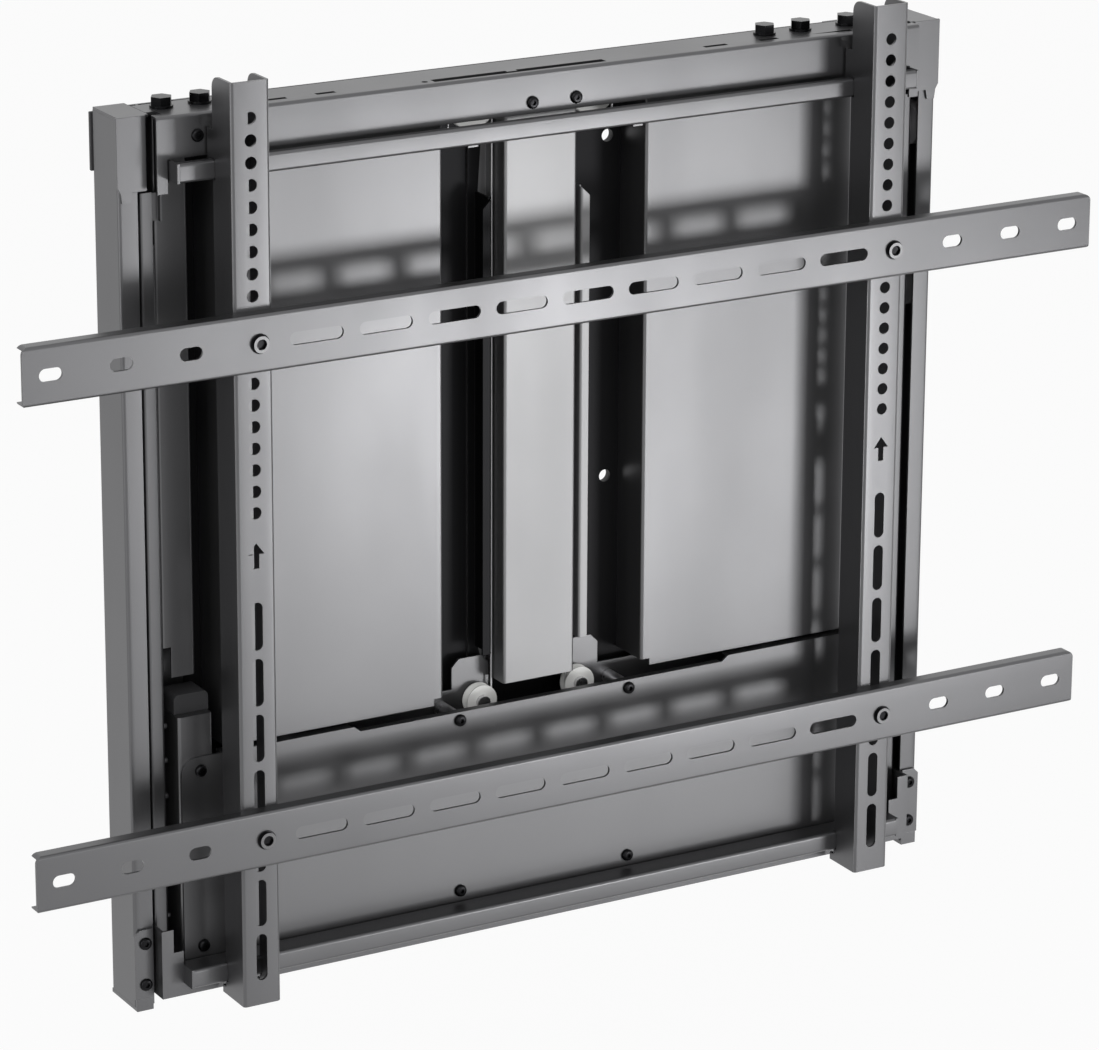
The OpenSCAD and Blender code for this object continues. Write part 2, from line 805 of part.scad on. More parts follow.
module slide_profile_left() {
  slide_profile();
}

module slide_profile_right() {
  right_side() slide_profile();
}

// Upper hook rail: a folded gutter that the arms' hooks drop into
module hook_rail_top() {
  m = sheet / 2;
  lip_back = -61.2;
  path = [[lip_back, rail_top - m], [-rail_front + m, rail_top - m],
    [-rail_front + m, rail_top - rail_h + m], [-rail_front + rail_d, rail_top - rail_h + m]];
  color(steel) across(folded(path), -rail_half_l, rail_half_l);
}

// Lower hook rail: a channel on the crossbar, closed at its ends
module hook_rail_bottom() {
  m = sheet / 2;
  low = rail_low_top - rail_h - 0.5;
  path = [[-rail_front + rail_d, rail_low_top - m], [-rail_front + m, rail_low_top - m],
    [-rail_front + m, low + m], [-rail_front + rail_d, low + m]];
  color(steel) {
    across(folded(path), -rail_half_l - 1, rail_half_l + 1);
    both_sides() block([-rail_half_l - sheet, -rail_front, low],
      [-rail_half_l, -rail_front + rail_d, rail_low_top]);
  }
}

// Brackets that join the upper rail to the slide profiles, with the carriage's stop lugs
module rail_brackets() {
  lug_top = lug_low + sheet;
  back = -31;
  neck = -40;
  wall_low = slide_top - 20;
  wall = [[-rail_front, rail_top - rail_h], [-rail_front, rail_top], [-50, rail_top], [-50, lug_top],
    [back, lug_top], [back, wall_low], [neck, wall_low], [neck, rail_top - rail_h - 9],
    [-54, rail_top - rail_h]];
  color(steel) both_sides() {
    across(wall, -rail_half_l - sheet, -rail_half_l);
    block([-slide_outer + sheet + 0.1, -slide_front + sheet, wall_low],
      [-rail_half_l - 1, -slide_front + 2 * sheet, slide_top - 1]);
    block([-rail_half_l - 1, -50, lug_low], [26.2 - slide_inner, back - 0.6, lug_top]);
  }
}

// Lower crossbar: a folded bar with side walls on the slide profiles and raised end lugs
module lower_crossbar() {
  m = sheet / 2;
  low = crossbar_low;
  high = crossbar_high;
  lug_mid = high + 11;
  lug_high = high + 28;
  bar_front = -beam_front;
  end = slide_outer + sheet;
  lug_in = slide_inner + 4.3;
  step_in = slide_inner - 3.2;
  half = [[0, low], [end, low], [end, lug_high], [lug_in, lug_high], [lug_in, lug_mid],
    [step_in, lug_mid], [step_in, high], [0, high]];
  color(steel) {
    facing(half, bar_front, bar_front + sheet);
    right_side() facing(half, bar_front, bar_front + sheet);
    block([2 - step_in, bar_front + 1, high - sheet], [step_in - 2, -46.5, high]);
    block([-end, bar_front + 1, low], [end, -30, low + sheet]);
    both_sides() block([-end, bar_front + 1, low], [-slide_outer, -slide_back - sheet, lug_high]);
  }
}

// Arms under the upper rail that the cables end on
module cable_anchors() {
  top = rail_top - rail_h;
  color(steel) both_sides()
    block([-anchor_x - 4, -rail_front + 10, top - 3.5], [-anchor_x + 4, -cable_y + 3, top]);
}

// Stub axles in the slide profiles for the guide rollers
module roller_axles() {
  wall_in = slide_outer - sheet;
  roller_out = roller_in + roller_w;
  color(zinc) for (s = [-1, 1], z = roller_z) scale([s, 1, 1]) {
    rod_x(roller_y, z, wall_in - 3, wall_in, 7);
    rod_x(roller_y, z, wall_in - 1, roller_out + 0.3, axle_r);
    rod_x(roller_y, z, slide_outer, roller_in - 0.2, 6);
    rod_x(roller_y, z, roller_out + 0.2, roller_out + 0.9, 6);
  }
}

// A guide roller that runs inside the column
module guide_roller(s, z) {
  x0 = s < 0 ? -roller_in - roller_w : roller_in;
  x1 = x0 + roller_w;
  color("gray") difference() {
    rod_x(roller_y, z, x0, x1, roller_r);
    rod_x(roller_y, z, x0 - 1, x1 + 1, axle_r + running);
  }
}

module guide_roller_left_upper() {
  guide_roller(-1, roller_z[0]);
}

module guide_roller_left_lower() {
  guide_roller(-1, roller_z[1]);
}

module guide_roller_right_upper() {
  guide_roller(1, roller_z[0]);
}

module guide_roller_right_lower() {
  guide_roller(1, roller_z[1]);
}

// Outline of an arm's flange, with the notches that pass the rails and the hook above the upper one
module arm_flange(x) {
  back = -64;
  hook_back = -56;
  hook_front = -60.6;
  hook_high = rail_top + 19.5;
  hook_low = rail_top - 7.5;
  clear = 0.3;
  notch = -rail_front - clear;
  low_rail = rail_low_top - rail_h - 0.5;
  round_r = 8;
  arc = [for (a = [0 : 15 : 90]) [back - round_r + round_r * cos(a), arm_top - round_r + round_r * sin(a)]];
  outline = concat([[-arm_front + bend, arm_low], [-arm_front + bend, arm_top]], backwards(arc),
    [[back, hook_high], [hook_back, hook_high], [hook_back, hook_low], [hook_front, hook_low],
      [hook_front, rail_top + clear],
      [notch, rail_top + clear], [notch, rail_top - rail_h - clear], [back, rail_top - rail_h - clear],
      [back, rail_low_top + clear], [notch, rail_low_top + clear], [notch, low_rail - clear],
      [back, low_rail - clear], [back, arm_low + 5.5], [-59, arm_low + 5.5], [-59, arm_low]]);
  across(outline, x - sheet / 2, x + sheet / 2);
}

// Display arm: a channel with round holes above, upright slots below and an arrow between
module arm(x0) {
  m = sheet / 2;
  side = arm_w / 2 - m;
  front = -arm_front + m;
  stub = -arm_front + 2 * bend;
  top_hole = bar_upper_z + 10 * arm_hole_pitch;
  arrow_z = 16;
  first_slot = -34;
  path = [[x0 - side, stub], [x0 - side, front], [x0 + side, front], [x0 + side, stub]];
  color(steel) difference() {
    union() {
      folded_up(path, arm_low, arm_top);
      arm_flange(x0 - side);
      arm_flange(x0 + side);
    }
    for (i = [0 : arm_holes - 1])
      rod_y(x0, top_hole - i * arm_hole_pitch, -arm_front - 1, -arm_front + 2 * sheet, arm_hole_r);
    for (i = [0 : arm_slots - 1])
      slot_up(x0, first_slot - i * arm_slot_pitch, arm_slot_l, arm_slot_w,
        -arm_front - 1, -arm_front + 2 * sheet);
    translate([x0, 0, arrow_z]) facing([[-2.2, -9], [2.2, -9], [2.2, 1], [6, 1], [0, 9], [-6, 1], [-2.2, 1]],
      -arm_front - 1, -arm_front + 2 * sheet);
  }
}

module arm_left() {
  arm(-arm_x);
}

module arm_right() {
  arm(arm_x);
}

bar_front_y = -arm_front - bar_d;

// What a rounded corner takes off both ends of a bar: g is 1 for the top, -1 for the bottom
module bar_corner(z0, g, r) {
  z1 = z0 + g * bar_h / 2;
  both_sides() difference() {
    block([-bar_l / 2 - 1, bar_front_y - 1, min(z1 - g * r, z1 + g)],
      [-bar_l / 2 + r, 1 - arm_front, max(z1 - g * r, z1 + g)]);
    rod_y(-bar_l / 2 + r, z1 - g * r, bar_front_y - 2, 2 - arm_front, r);
  }
}

// Display bar: a shallow channel with long slots in the middle and short slots at its ends
module display_bar(z0) {
  m = sheet / 2;
  h = bar_h / 2 - m;
  y1 = bar_front_y + 2 * sheet;
  path = [[-arm_front, z0 + h], [bar_front_y + m, z0 + h], [bar_front_y + m, z0 - h], [-arm_front, z0 - h]];
  color(steel) difference() {
    across(folded(path), -bar_l / 2, bar_l / 2);
    bar_corner(z0, 1, 5);
    bar_corner(z0, -1, 2);
    for (i = [0 : bar_slots - 1])
      slot_across((i - (bar_slots - 1) / 2) * bar_slot_pitch, z0, bar_slot_l, bar_slot_w, bar_front_y - 1, y1);
    for (s = [-1, 1]) {
      rod_y(s * arm_x, z0, bar_front_y - 1, y1, axle_r + 0.2);
      for (x = bar_end_slots) slot_across(s * x, z0, bar_end_slot_l, bar_slot_w, bar_front_y - 1, y1);
    }
  }
}

module bar_upper() {
  display_bar(bar_upper_z);
}

module bar_lower() {
  display_bar(bar_lower_z);
}

// Button-head bolts with a hexagon socket, one where each bar crosses an arm
module bar_bolts() {
  head_r = 6;
  head_h = 3;
  washer_r = 6.85;
  washer_h = 0.8;
  bolt_end = -80;
  color(zinc) for (s = [-1, 1], z = [bar_upper_z, bar_lower_z]) difference() {
    union() {
      rod_y(s * arm_x, z, bar_front_y - washer_h, bar_front_y, washer_r);
      rod_y(s * arm_x, z, bar_front_y - head_h, bar_front_y - washer_h, head_r);
      rod_y(s * arm_x, z, bar_front_y - 1, bolt_end, axle_r);
    }
    translate([s * arm_x, bar_front_y - head_h - 1, z]) rotate([-90, 0, 0])
      cylinder(r = 3.6, h = 3, $fn = 6);
  }
}

// Spacer tubes inside the bars and hexagon nuts behind the arms
module bar_nuts() {
  nut_h = 6.5;
  color(zinc) for (s = [-1, 1], z = [bar_upper_z, bar_lower_z]) {
    difference() {
      rod_y(s * arm_x, z, bar_front_y + sheet, -arm_front, 7);
      rod_y(s * arm_x, z, bar_front_y, -arm_front + 1, axle_r + 0.2);
    }
    difference() {
      translate([s * arm_x, -arm_front + sheet, z]) rotate([-90, 0, 0])
        cylinder(r = 13 / sqrt(3), h = nut_h, $fn = 6);
      rod_y(s * arm_x, z, -arm_front, -arm_front + sheet + nut_h + 1, axle_r + 0.02);
    }
  }
}

back_plate();
wall_pads();
column_left();
column_right();
guide_channels();
top_beam();
top_caps();
corner_plates();
frame_screws();
column_feet();
housing_left();
housing_right();
lower_cover();
cover_posts();
cover_brackets();
buffers();
mast();
beam_bolts();
pulley_plates();
pulley_axles();
cables();
lift_strands();
block_strands_left();
block_strands_right();
cable_loop_left();
cable_loop_right();
lower_pulley_left();
lower_pulley_right();
upper_pulley_left();
upper_pulley_right();
turning_pulley_left();
turning_pulley_right();
block_pulley_left();
block_pulley_right();
crosshead_left();
crosshead_right();
spring_hanger_left();
spring_hanger_right();
springs_left();
springs_right();
adjuster_left();
adjuster_right();
slide_profile_left();
slide_profile_right();
hook_rail_top();
hook_rail_bottom();
rail_brackets();
lower_crossbar();
cable_anchors();
roller_axles();
guide_roller_left_upper();
guide_roller_left_lower();
guide_roller_right_upper();
guide_roller_right_lower();
arm_left();
arm_right();
bar_upper();
bar_lower();
bar_bolts();
bar_nuts();
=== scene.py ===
import json
import math

import bmesh
import bpy
from bpy.props import FloatProperty, FloatVectorProperty, IntProperty, PointerProperty
from bpy.types import Operator, Panel, PropertyGroup
from mathutils import Matrix, Vector


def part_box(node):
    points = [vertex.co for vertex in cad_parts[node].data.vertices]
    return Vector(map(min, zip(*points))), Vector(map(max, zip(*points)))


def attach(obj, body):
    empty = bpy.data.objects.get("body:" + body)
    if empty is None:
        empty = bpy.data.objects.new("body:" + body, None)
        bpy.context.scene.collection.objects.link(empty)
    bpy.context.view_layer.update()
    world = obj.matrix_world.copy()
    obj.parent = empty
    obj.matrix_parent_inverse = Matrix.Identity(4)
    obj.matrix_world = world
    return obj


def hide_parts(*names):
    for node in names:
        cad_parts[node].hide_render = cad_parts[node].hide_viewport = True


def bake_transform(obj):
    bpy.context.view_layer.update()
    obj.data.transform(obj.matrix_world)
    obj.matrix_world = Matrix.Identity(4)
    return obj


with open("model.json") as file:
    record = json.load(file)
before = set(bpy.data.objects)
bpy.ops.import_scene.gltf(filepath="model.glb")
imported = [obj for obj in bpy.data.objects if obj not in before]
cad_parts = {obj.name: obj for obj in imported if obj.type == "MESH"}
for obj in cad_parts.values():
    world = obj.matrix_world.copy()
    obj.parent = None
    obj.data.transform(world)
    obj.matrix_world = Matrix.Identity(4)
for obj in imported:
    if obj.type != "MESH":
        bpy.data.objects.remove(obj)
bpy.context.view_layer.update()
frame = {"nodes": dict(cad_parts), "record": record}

bl_info = {
    "name": "Wall mount looks",
    "version": (1, 0, 0),
    "blender": (4, 5, 0),
    "location": "View3D > Sidebar > Wall mount",
    "description": "Dresses the wall mount's pieces and sets up the studio",
    "category": "Object",
}

MM = 0.001
# Depth that every bump stands for
BUMP_DISTANCE = 0.2 * MM


# The sizes and colours that a user would change


class SheetSettings(PropertyGroup):
    edge_round: FloatProperty(
        name="Edge round", description="Rounding of cut sheet edges", default=0.00028, unit="LENGTH"
    )
    coat_color: FloatVectorProperty(
        name="Coat colour", description="Colour of the satin coat", subtype="COLOR",
        size=3, min=0, max=1, default=(0.124, 0.124, 0.128),
    )
    inner_color: FloatVectorProperty(
        name="Inner colour", description="Colour of the inner sheet pieces", subtype="COLOR",
        size=3, min=0, max=1, default=(0.140, 0.140, 0.144),
    )
    # Painted shade: the back plate's near-black colour stands for the shade in the gaps beside the mast
    back_shade_color: FloatVectorProperty(
        name="Back plate colour", description="Colour of the plate painted for shade at the back", subtype="COLOR",
        size=3, min=0, max=1, default=(0.014, 0.014, 0.015),
    )
    # Painted light: the mast's paler colour stands for the brighter reflection on it
    mast_lit_color: FloatVectorProperty(
        name="Mast colour", description="Colour of the mast's paler coat", subtype="COLOR",
        size=3, min=0, max=1, default=(0.235, 0.235, 0.239),
    )
    coat_roughness: FloatProperty(
        name="Coat roughness", description="How matt the coat is", default=0.34, min=0, max=1
    )
    mast_roughness: FloatProperty(
        name="Mast roughness", description="How matt the mast's coat is", default=0.44, min=0, max=1
    )
    coat_metal: FloatProperty(
        name="Coat metallic", description="How metallic the coat looks", default=0.92, min=0, max=1
    )


class FastenerSettings(PropertyGroup):
    screw_radius: FloatProperty(
        name="Screw head radius", description="Radius of the cover screws' heads", default=0.0045, unit="LENGTH"
    )
    screw_height: FloatProperty(
        name="Screw head height", description="Height of the cover screws' heads", default=0.0030, unit="LENGTH"
    )
    key_radius: FloatProperty(
        name="Socket radius", description="Radius of the bar bolts' sockets", default=0.0037, unit="LENGTH"
    )
    face_radius: FloatProperty(
        name="Bolt face radius", description="Radius of the bar bolts' turned faces",
        default=0.0058, unit="LENGTH",
    )
    rivet_radius: FloatProperty(
        name="Rivet radius", description="Radius of the slide profiles' rivet heads",
        default=0.0022, unit="LENGTH",
    )


class BalanceSettings(PropertyGroup):
    coil_turns: IntProperty(
        name="Coil turns", description="Turns of each balance spring", default=34, min=4, max=80
    )
    wire_radius: FloatProperty(
        name="Wire radius", description="Radius of the spring wire", default=0.0016, unit="LENGTH"
    )
    rope_radius: FloatProperty(
        name="Rope radius", description="Radius of the wire rope", default=0.0008, unit="LENGTH"
    )


class StageSettings(PropertyGroup):
    lens_px: FloatProperty(
        name="Lens", description="Focal length in pixels of the 1099 wide image", default=4793.8
    )
    key_power: FloatProperty(name="Key power", description="Power of the key lamp in watts", default=31.0)
    panel_power: FloatProperty(
        name="Panel power", description="Power of the soft box that the panels mirror, in watts", default=24.0
    )
    rim_power: FloatProperty(name="Rim power", description="Power of the side lamp in watts", default=12.0)
    sky: FloatProperty(name="Sky", description="Strength of the even light from all round", default=0.55)


# Small helpers for nodes and meshes


def link(tree, a, b):
    tree.links.new(a, b)


def new_node(tree, kind, place=(0, 0), **values):
    made = tree.nodes.new(kind)
    made.location = place
    for name, value in values.items():
        setattr(made, name, value)
    return made


def socket(tree, name, kind, way="INPUT", default=None):
    made = tree.interface.new_socket(name=name, in_out=way, socket_type=kind)
    if default is not None:
        made.default_value = default
    return made


def from_bmesh(bm, name):
    mesh = bpy.data.meshes.new(name)
    bm.to_mesh(mesh)
    bm.free()
    piece = bpy.data.objects.new(name, mesh)
    bpy.context.scene.collection.objects.link(piece)
    return piece


def smooth_by_angle(bm, degrees):
    """Smooth faces, with a sharp edge wherever two faces meet more steeply than the angle."""
    for face in bm.faces:
        face.smooth = True
    for edge in bm.edges:
        if len(edge.link_faces) == 2 and edge.calc_face_angle(0) > math.radians(degrees):
            edge.smooth = False


def solid_of_turns(profile, steps):
    """A turned solid about Z from a list of (radius, height), closed at both ends."""
    bm = bmesh.new()
    rings = []
    for r, z in profile:
        if r < 1e-7:
            rings.append([bm.verts.new((0, 0, z))])
        else:
            turn = [2 * math.pi * k / steps for k in range(steps)]
            rings.append([bm.verts.new((r * math.cos(a), r * math.sin(a), z)) for a in turn])
    for low, high in zip(rings, rings[1:]):
        for k in range(steps):
            m = (k + 1) % steps
            if len(low) == 1:
                bm.faces.new((low[0], high[m], high[k]))
            elif len(high) == 1:
                bm.faces.new((low[k], low[m], high[0]))
            else:
                bm.faces.new((low[k], low[m], high[m], high[k]))
    bmesh.ops.recalc_face_normals(bm, faces=bm.faces)
    return bm


def with_modifiers_applied(piece, name):
    """The evaluated object as a plain mesh in a new object, and the source is removed."""
    graph = bpy.context.evaluated_depsgraph_get()
    mesh = bpy.data.meshes.new_from_object(piece.evaluated_get(graph))
    made = bpy.data.objects.new(name, mesh)
    bpy.context.scene.collection.objects.link(made)
    bpy.data.objects.remove(piece)
    return made


# Shader node groups that several materials share


def grain_group():
    """Fine orange-peel texture of a powder coat: a height for a bump and a soft mottle."""
    tree = bpy.data.node_groups.new("coat grain", "ShaderNodeTree")
    socket(tree, "Vector", "NodeSocketVector")
    socket(tree, "Grain per metre", "NodeSocketFloat", default=2600.0)
    socket(tree, "Mottle per metre", "NodeSocketFloat", default=16.0)
    socket(tree, "Height", "NodeSocketFloat", "OUTPUT")
    socket(tree, "Mottle", "NodeSocketFloat", "OUTPUT")
    start = new_node(tree, "NodeGroupInput", (-400, 0))
    end = new_node(tree, "NodeGroupOutput", (400, 0))
    fine = new_node(tree, "ShaderNodeTexNoise", (-100, 120))
    fine.inputs["Detail"].default_value = 2.0
    broad = new_node(tree, "ShaderNodeTexNoise", (-100, -160))
    broad.inputs["Detail"].default_value = 4.0
    link(tree, start.outputs["Vector"], fine.inputs["Vector"])
    link(tree, start.outputs["Vector"], broad.inputs["Vector"])
    link(tree, start.outputs["Grain per metre"], fine.inputs["Scale"])
    link(tree, start.outputs["Mottle per metre"], broad.inputs["Scale"])
    link(tree, fine.outputs["Fac"], end.inputs["Height"])
    link(tree, broad.outputs["Fac"], end.inputs["Mottle"])
    return tree


def smudge_group():
    """Handling smudges: streaks of slightly different gloss, drawn out along one direction."""
    tree = bpy.data.node_groups.new("handling smudges", "ShaderNodeTree")
    socket(tree, "Vector", "NodeSocketVector")
    socket(tree, "Streak", "NodeSocketVector", default=(9.0, 9.0, 3.0))
    socket(tree, "Least", "NodeSocketFloat", default=0.0)
    socket(tree, "Most", "NodeSocketFloat", default=1.0)
    socket(tree, "Value", "NodeSocketFloat", "OUTPUT")
    start = new_node(tree, "NodeGroupInput", (-500, 0))
    end = new_node(tree, "NodeGroupOutput", (500, 0))
    stretch = new_node(tree, "ShaderNodeVectorMath", (-280, 60), operation="MULTIPLY")
    cloud = new_node(tree, "ShaderNodeTexNoise", (-80, 60))
    cloud.inputs["Scale"].default_value = 1.0
    cloud.inputs["Detail"].default_value = 5.0
    spread = new_node(tree, "ShaderNodeMapRange", (180, 60))
    spread.inputs["From Min"].default_value = 0.3
    spread.inputs["From Max"].default_value = 0.7
    link(tree, start.outputs["Vector"], stretch.inputs[0])
    link(tree, start.outputs["Streak"], stretch.inputs[1])
    link(tree, stretch.outputs[0], cloud.inputs["Vector"])
    link(tree, cloud.outputs["Fac"], spread.inputs["Value"])
    link(tree, start.outputs["Least"], spread.inputs["To Min"])
    link(tree, start.outputs["Most"], spread.inputs["To Max"])
    link(tree, spread.outputs["Result"], end.inputs["Value"])
    return tree


def group(name, maker):
    return bpy.data.node_groups.get(name) or maker()


def finish_material(name, color, roughness, metallic, grain=2600.0, depth=0.06, spread=0.035,
                    mottle=0.05, streak=(9.0, 9.0, 3.0)):
    """A procedural finish: base colour with a soft mottle, gloss with smudges, and a fine bump."""
    material = bpy.data.materials.get(name)
    if material:
        return material
    material = bpy.data.materials.new(name)
    material.use_nodes = True
    tree = material.node_tree
    shader = tree.nodes["Principled BSDF"]
    shader.inputs["Metallic"].default_value = metallic
    where = new_node(tree, "ShaderNodeTexCoord", (-1000, 0))
    grains = new_node(tree, "ShaderNodeGroup", (-760, 160), node_tree=group("coat grain", grain_group))
    grains.inputs["Grain per metre"].default_value = grain
    smudges = new_node(tree, "ShaderNodeGroup", (-760, -160), node_tree=group("handling smudges", smudge_group))
    smudges.inputs["Streak"].default_value = streak
    smudges.inputs["Least"].default_value = roughness - spread
    smudges.inputs["Most"].default_value = roughness + spread
    tint = new_node(tree, "ShaderNodeMix", (-420, 200), data_type="RGBA")
    tint.inputs["A"].default_value = (*[c * (1 - mottle) for c in color], 1)
    tint.inputs["B"].default_value = (*[min(1, c * (1 + mottle)) for c in color], 1)
    bump = new_node(tree, "ShaderNodeBump", (-420, -220))
    bump.inputs["Strength"].default_value = depth
    bump.inputs["Distance"].default_value = BUMP_DISTANCE
    for node in (grains, smudges):
        link(tree, where.outputs["Object"], node.inputs["Vector"])
    link(tree, grains.outputs["Mottle"], tint.inputs["Factor"])
    link(tree, tint.outputs["Result"], shader.inputs["Base Color"])
    link(tree, smudges.outputs["Value"], shader.inputs["Roughness"])
    link(tree, grains.outputs["Height"], bump.inputs["Height"])
    link(tree, bump.outputs["Normal"], shader.inputs["Normal"])
    return material


def coat():
    """Satin coat of the outer sheet."""
    s = bpy.context.scene.sheet_settings
    return finish_material("satin coat", s.coat_color, s.coat_roughness, s.coat_metal)


def inner_coat():
    """Slightly paler and duller coat of the sheet inside the frame."""
    s = bpy.context.scene.sheet_settings
    roughness = s.coat_roughness + 0.02
    return finish_material("inner satin coat", s.inner_color, roughness, s.coat_metal, depth=0.04)


# Painted light: a paler copy of the satin coat, standing for the soft box's brighter reflection on the mast
def mast_lit_coat():
    s = bpy.context.scene.sheet_settings
    return finish_material("mast coat with painted light", s.mast_lit_color, s.mast_roughness, s.coat_metal, depth=0.04)


# Painted shade: near-black coat on the back plate and on the mast's left flange, standing for the shade that
# falls there
def back_plate_shade_coat():
    s = bpy.context.scene.sheet_settings
    return finish_material("plate painted for shade", s.back_shade_color, roughness=0.5, metallic=0.9, depth=0.05)


def black_oxide():
    return finish_material("black oxide", (0.013, 0.013, 0.014), roughness=0.28, metallic=0.95,
                           grain=5000.0, depth=0.04)


def turned_face():
    return finish_material("turned face", (0.135, 0.135, 0.138), roughness=0.30, metallic=0.95,
                           grain=4000.0, depth=0.03)


def bright_zinc():
    return finish_material("bright zinc", (0.62, 0.62, 0.63), roughness=0.30, metallic=1.0,
                           grain=4000.0, depth=0.03, streak=(60.0, 60.0, 20.0))


def nylon():
    return finish_material("white nylon", (0.80, 0.80, 0.78), roughness=0.42, metallic=0.0,
                           grain=1500.0, depth=0.03, mottle=0.03)


def grey_nylon():
    return finish_material("grey nylon", (0.30, 0.30, 0.31), roughness=0.45, metallic=0.0,
                           grain=1500.0, depth=0.03, mottle=0.04)


def rubber():
    return finish_material("black rubber", (0.028, 0.028, 0.030), roughness=0.62, metallic=0.0,
                           grain=1800.0, depth=0.18, mottle=0.12)


def spring_steel():
    return finish_material("oiled spring steel", (0.26, 0.26, 0.27), roughness=0.34, metallic=1.0,
                           grain=3500.0, depth=0.05)


def rope_steel():
    """Wire rope: fine slanted strands as a bump on bright steel."""
    material = bpy.data.materials.get("wire rope")
    if material:
        return material
    material = finish_material("wire rope", (0.60, 0.60, 0.61), roughness=0.34, metallic=1.0, depth=0.05)
    tree = material.node_tree
    where = tree.nodes["Texture Coordinate"]
    slant = new_node(tree, "ShaderNodeMapping", (-760, -520))
    slant.inputs["Rotation"].default_value = (0, math.radians(35), 0)
    strands = new_node(tree, "ShaderNodeTexWave", (-560, -520))
    strands.inputs["Scale"].default_value = 520.0
    strands.inputs["Distortion"].default_value = 0.4
    bump = new_node(tree, "ShaderNodeBump", (-180, -420))
    bump.inputs["Strength"].default_value = 0.5
    bump.inputs["Distance"].default_value = BUMP_DISTANCE
    link(tree, where.outputs["Object"], slant.inputs["Vector"])
    link(tree, slant.outputs["Vector"], strands.inputs["Vector"])
    link(tree, strands.outputs["Fac"], bump.inputs["Height"])
    link(tree, tree.nodes["Bump"].outputs["Normal"], bump.inputs["Normal"])
    link(tree, bump.outputs["Normal"], tree.nodes["Principled BSDF"].inputs["Normal"])
    return material


# Geometry Nodes: a head repeated on points, and a helical spring


def repeat_tree():
    """Puts one head on every point of the piece, and gives the lot one material."""
    tree = bpy.data.node_groups.get("heads on points")
    if tree:
        return tree
    tree = bpy.data.node_groups.new("heads on points", "GeometryNodeTree")
    socket(tree, "Geometry", "NodeSocketGeometry")
    socket(tree, "Head", "NodeSocketObject")
    socket(tree, "Size", "NodeSocketFloat", default=1.0)
    socket(tree, "Finish", "NodeSocketMaterial")
    socket(tree, "Geometry", "NodeSocketGeometry", "OUTPUT")
    start = new_node(tree, "NodeGroupInput", (-700, 0))
    end = new_node(tree, "NodeGroupOutput", (700, 0))
    head = new_node(tree, "GeometryNodeObjectInfo", (-460, -160))
    spread = new_node(tree, "GeometryNodeInstanceOnPoints", (-160, 0))
    real = new_node(tree, "GeometryNodeRealizeInstances", (120, 0))
    paint = new_node(tree, "GeometryNodeSetMaterial", (360, 0))
    link(tree, start.outputs["Geometry"], spread.inputs["Points"])
    link(tree, start.outputs["Head"], head.inputs["Object"])
    link(tree, head.outputs["Geometry"], spread.inputs["Instance"])
    link(tree, start.outputs["Size"], spread.inputs["Scale"])
    link(tree, spread.outputs["Instances"], real.inputs["Geometry"])
    link(tree, real.outputs["Geometry"], paint.inputs["Geometry"])
    link(tree, start.outputs["Finish"], paint.inputs["Material"])
    link(tree, paint.outputs["Geometry"], end.inputs["Geometry"])
    return tree


def coil_tree():
    """A helical spring about Z: turns, radius, length and wire radius are inputs."""
    tree = bpy.data.node_groups.get("helical spring")
    if tree:
        return tree
    tree = bpy.data.node_groups.new("helical spring", "GeometryNodeTree")
    socket(tree, "Geometry", "NodeSocketGeometry")
    socket(tree, "Turns", "NodeSocketFloat", default=30.0)
    socket(tree, "Radius", "NodeSocketFloat", default=0.0107)
    socket(tree, "Length", "NodeSocketFloat", default=0.16)
    socket(tree, "Wire radius", "NodeSocketFloat", default=0.0016)
    socket(tree, "Place", "NodeSocketVector")
    socket(tree, "Finish", "NodeSocketMaterial")
    socket(tree, "Geometry", "NodeSocketGeometry", "OUTPUT")
    start = new_node(tree, "NodeGroupInput", (-900, 0))
    end = new_node(tree, "NodeGroupOutput", (900, 0))
    helix = new_node(tree, "GeometryNodeCurveSpiral", (-600, 120))
    helix.inputs["Resolution"].default_value = 20
    wire = new_node(tree, "GeometryNodeCurvePrimitiveCircle", (-600, -220))
    wire.inputs["Resolution"].default_value = 8
    sweep = new_node(tree, "GeometryNodeCurveToMesh", (-300, 0))
    sweep.inputs["Fill Caps"].default_value = True
    move = new_node(tree, "GeometryNodeTransform", (-40, 0))
    join = new_node(tree, "GeometryNodeJoinGeometry", (180, 0))
    real = new_node(tree, "GeometryNodeRealizeInstances", (380, 0))
    paint = new_node(tree, "GeometryNodeSetMaterial", (600, 0))
    link(tree, start.outputs["Turns"], helix.inputs["Rotations"])
    link(tree, start.outputs["Radius"], helix.inputs["Start Radius"])
    link(tree, start.outputs["Radius"], helix.inputs["End Radius"])
    link(tree, start.outputs["Length"], helix.inputs["Height"])
    link(tree, start.outputs["Wire radius"], wire.inputs["Radius"])
    link(tree, helix.outputs["Curve"], sweep.inputs["Curve"])
    link(tree, wire.outputs["Curve"], sweep.inputs["Profile Curve"])
    link(tree, sweep.outputs["Mesh"], move.inputs["Geometry"])
    link(tree, start.outputs["Place"], move.inputs["Translation"])
    link(tree, move.outputs["Geometry"], join.inputs["Geometry"])
    link(tree, join.outputs["Geometry"], real.inputs["Geometry"])
    link(tree, real.outputs["Geometry"], paint.inputs["Geometry"])
    link(tree, start.outputs["Finish"], paint.inputs["Material"])
    link(tree, paint.outputs["Geometry"], end.inputs["Geometry"])
    return tree


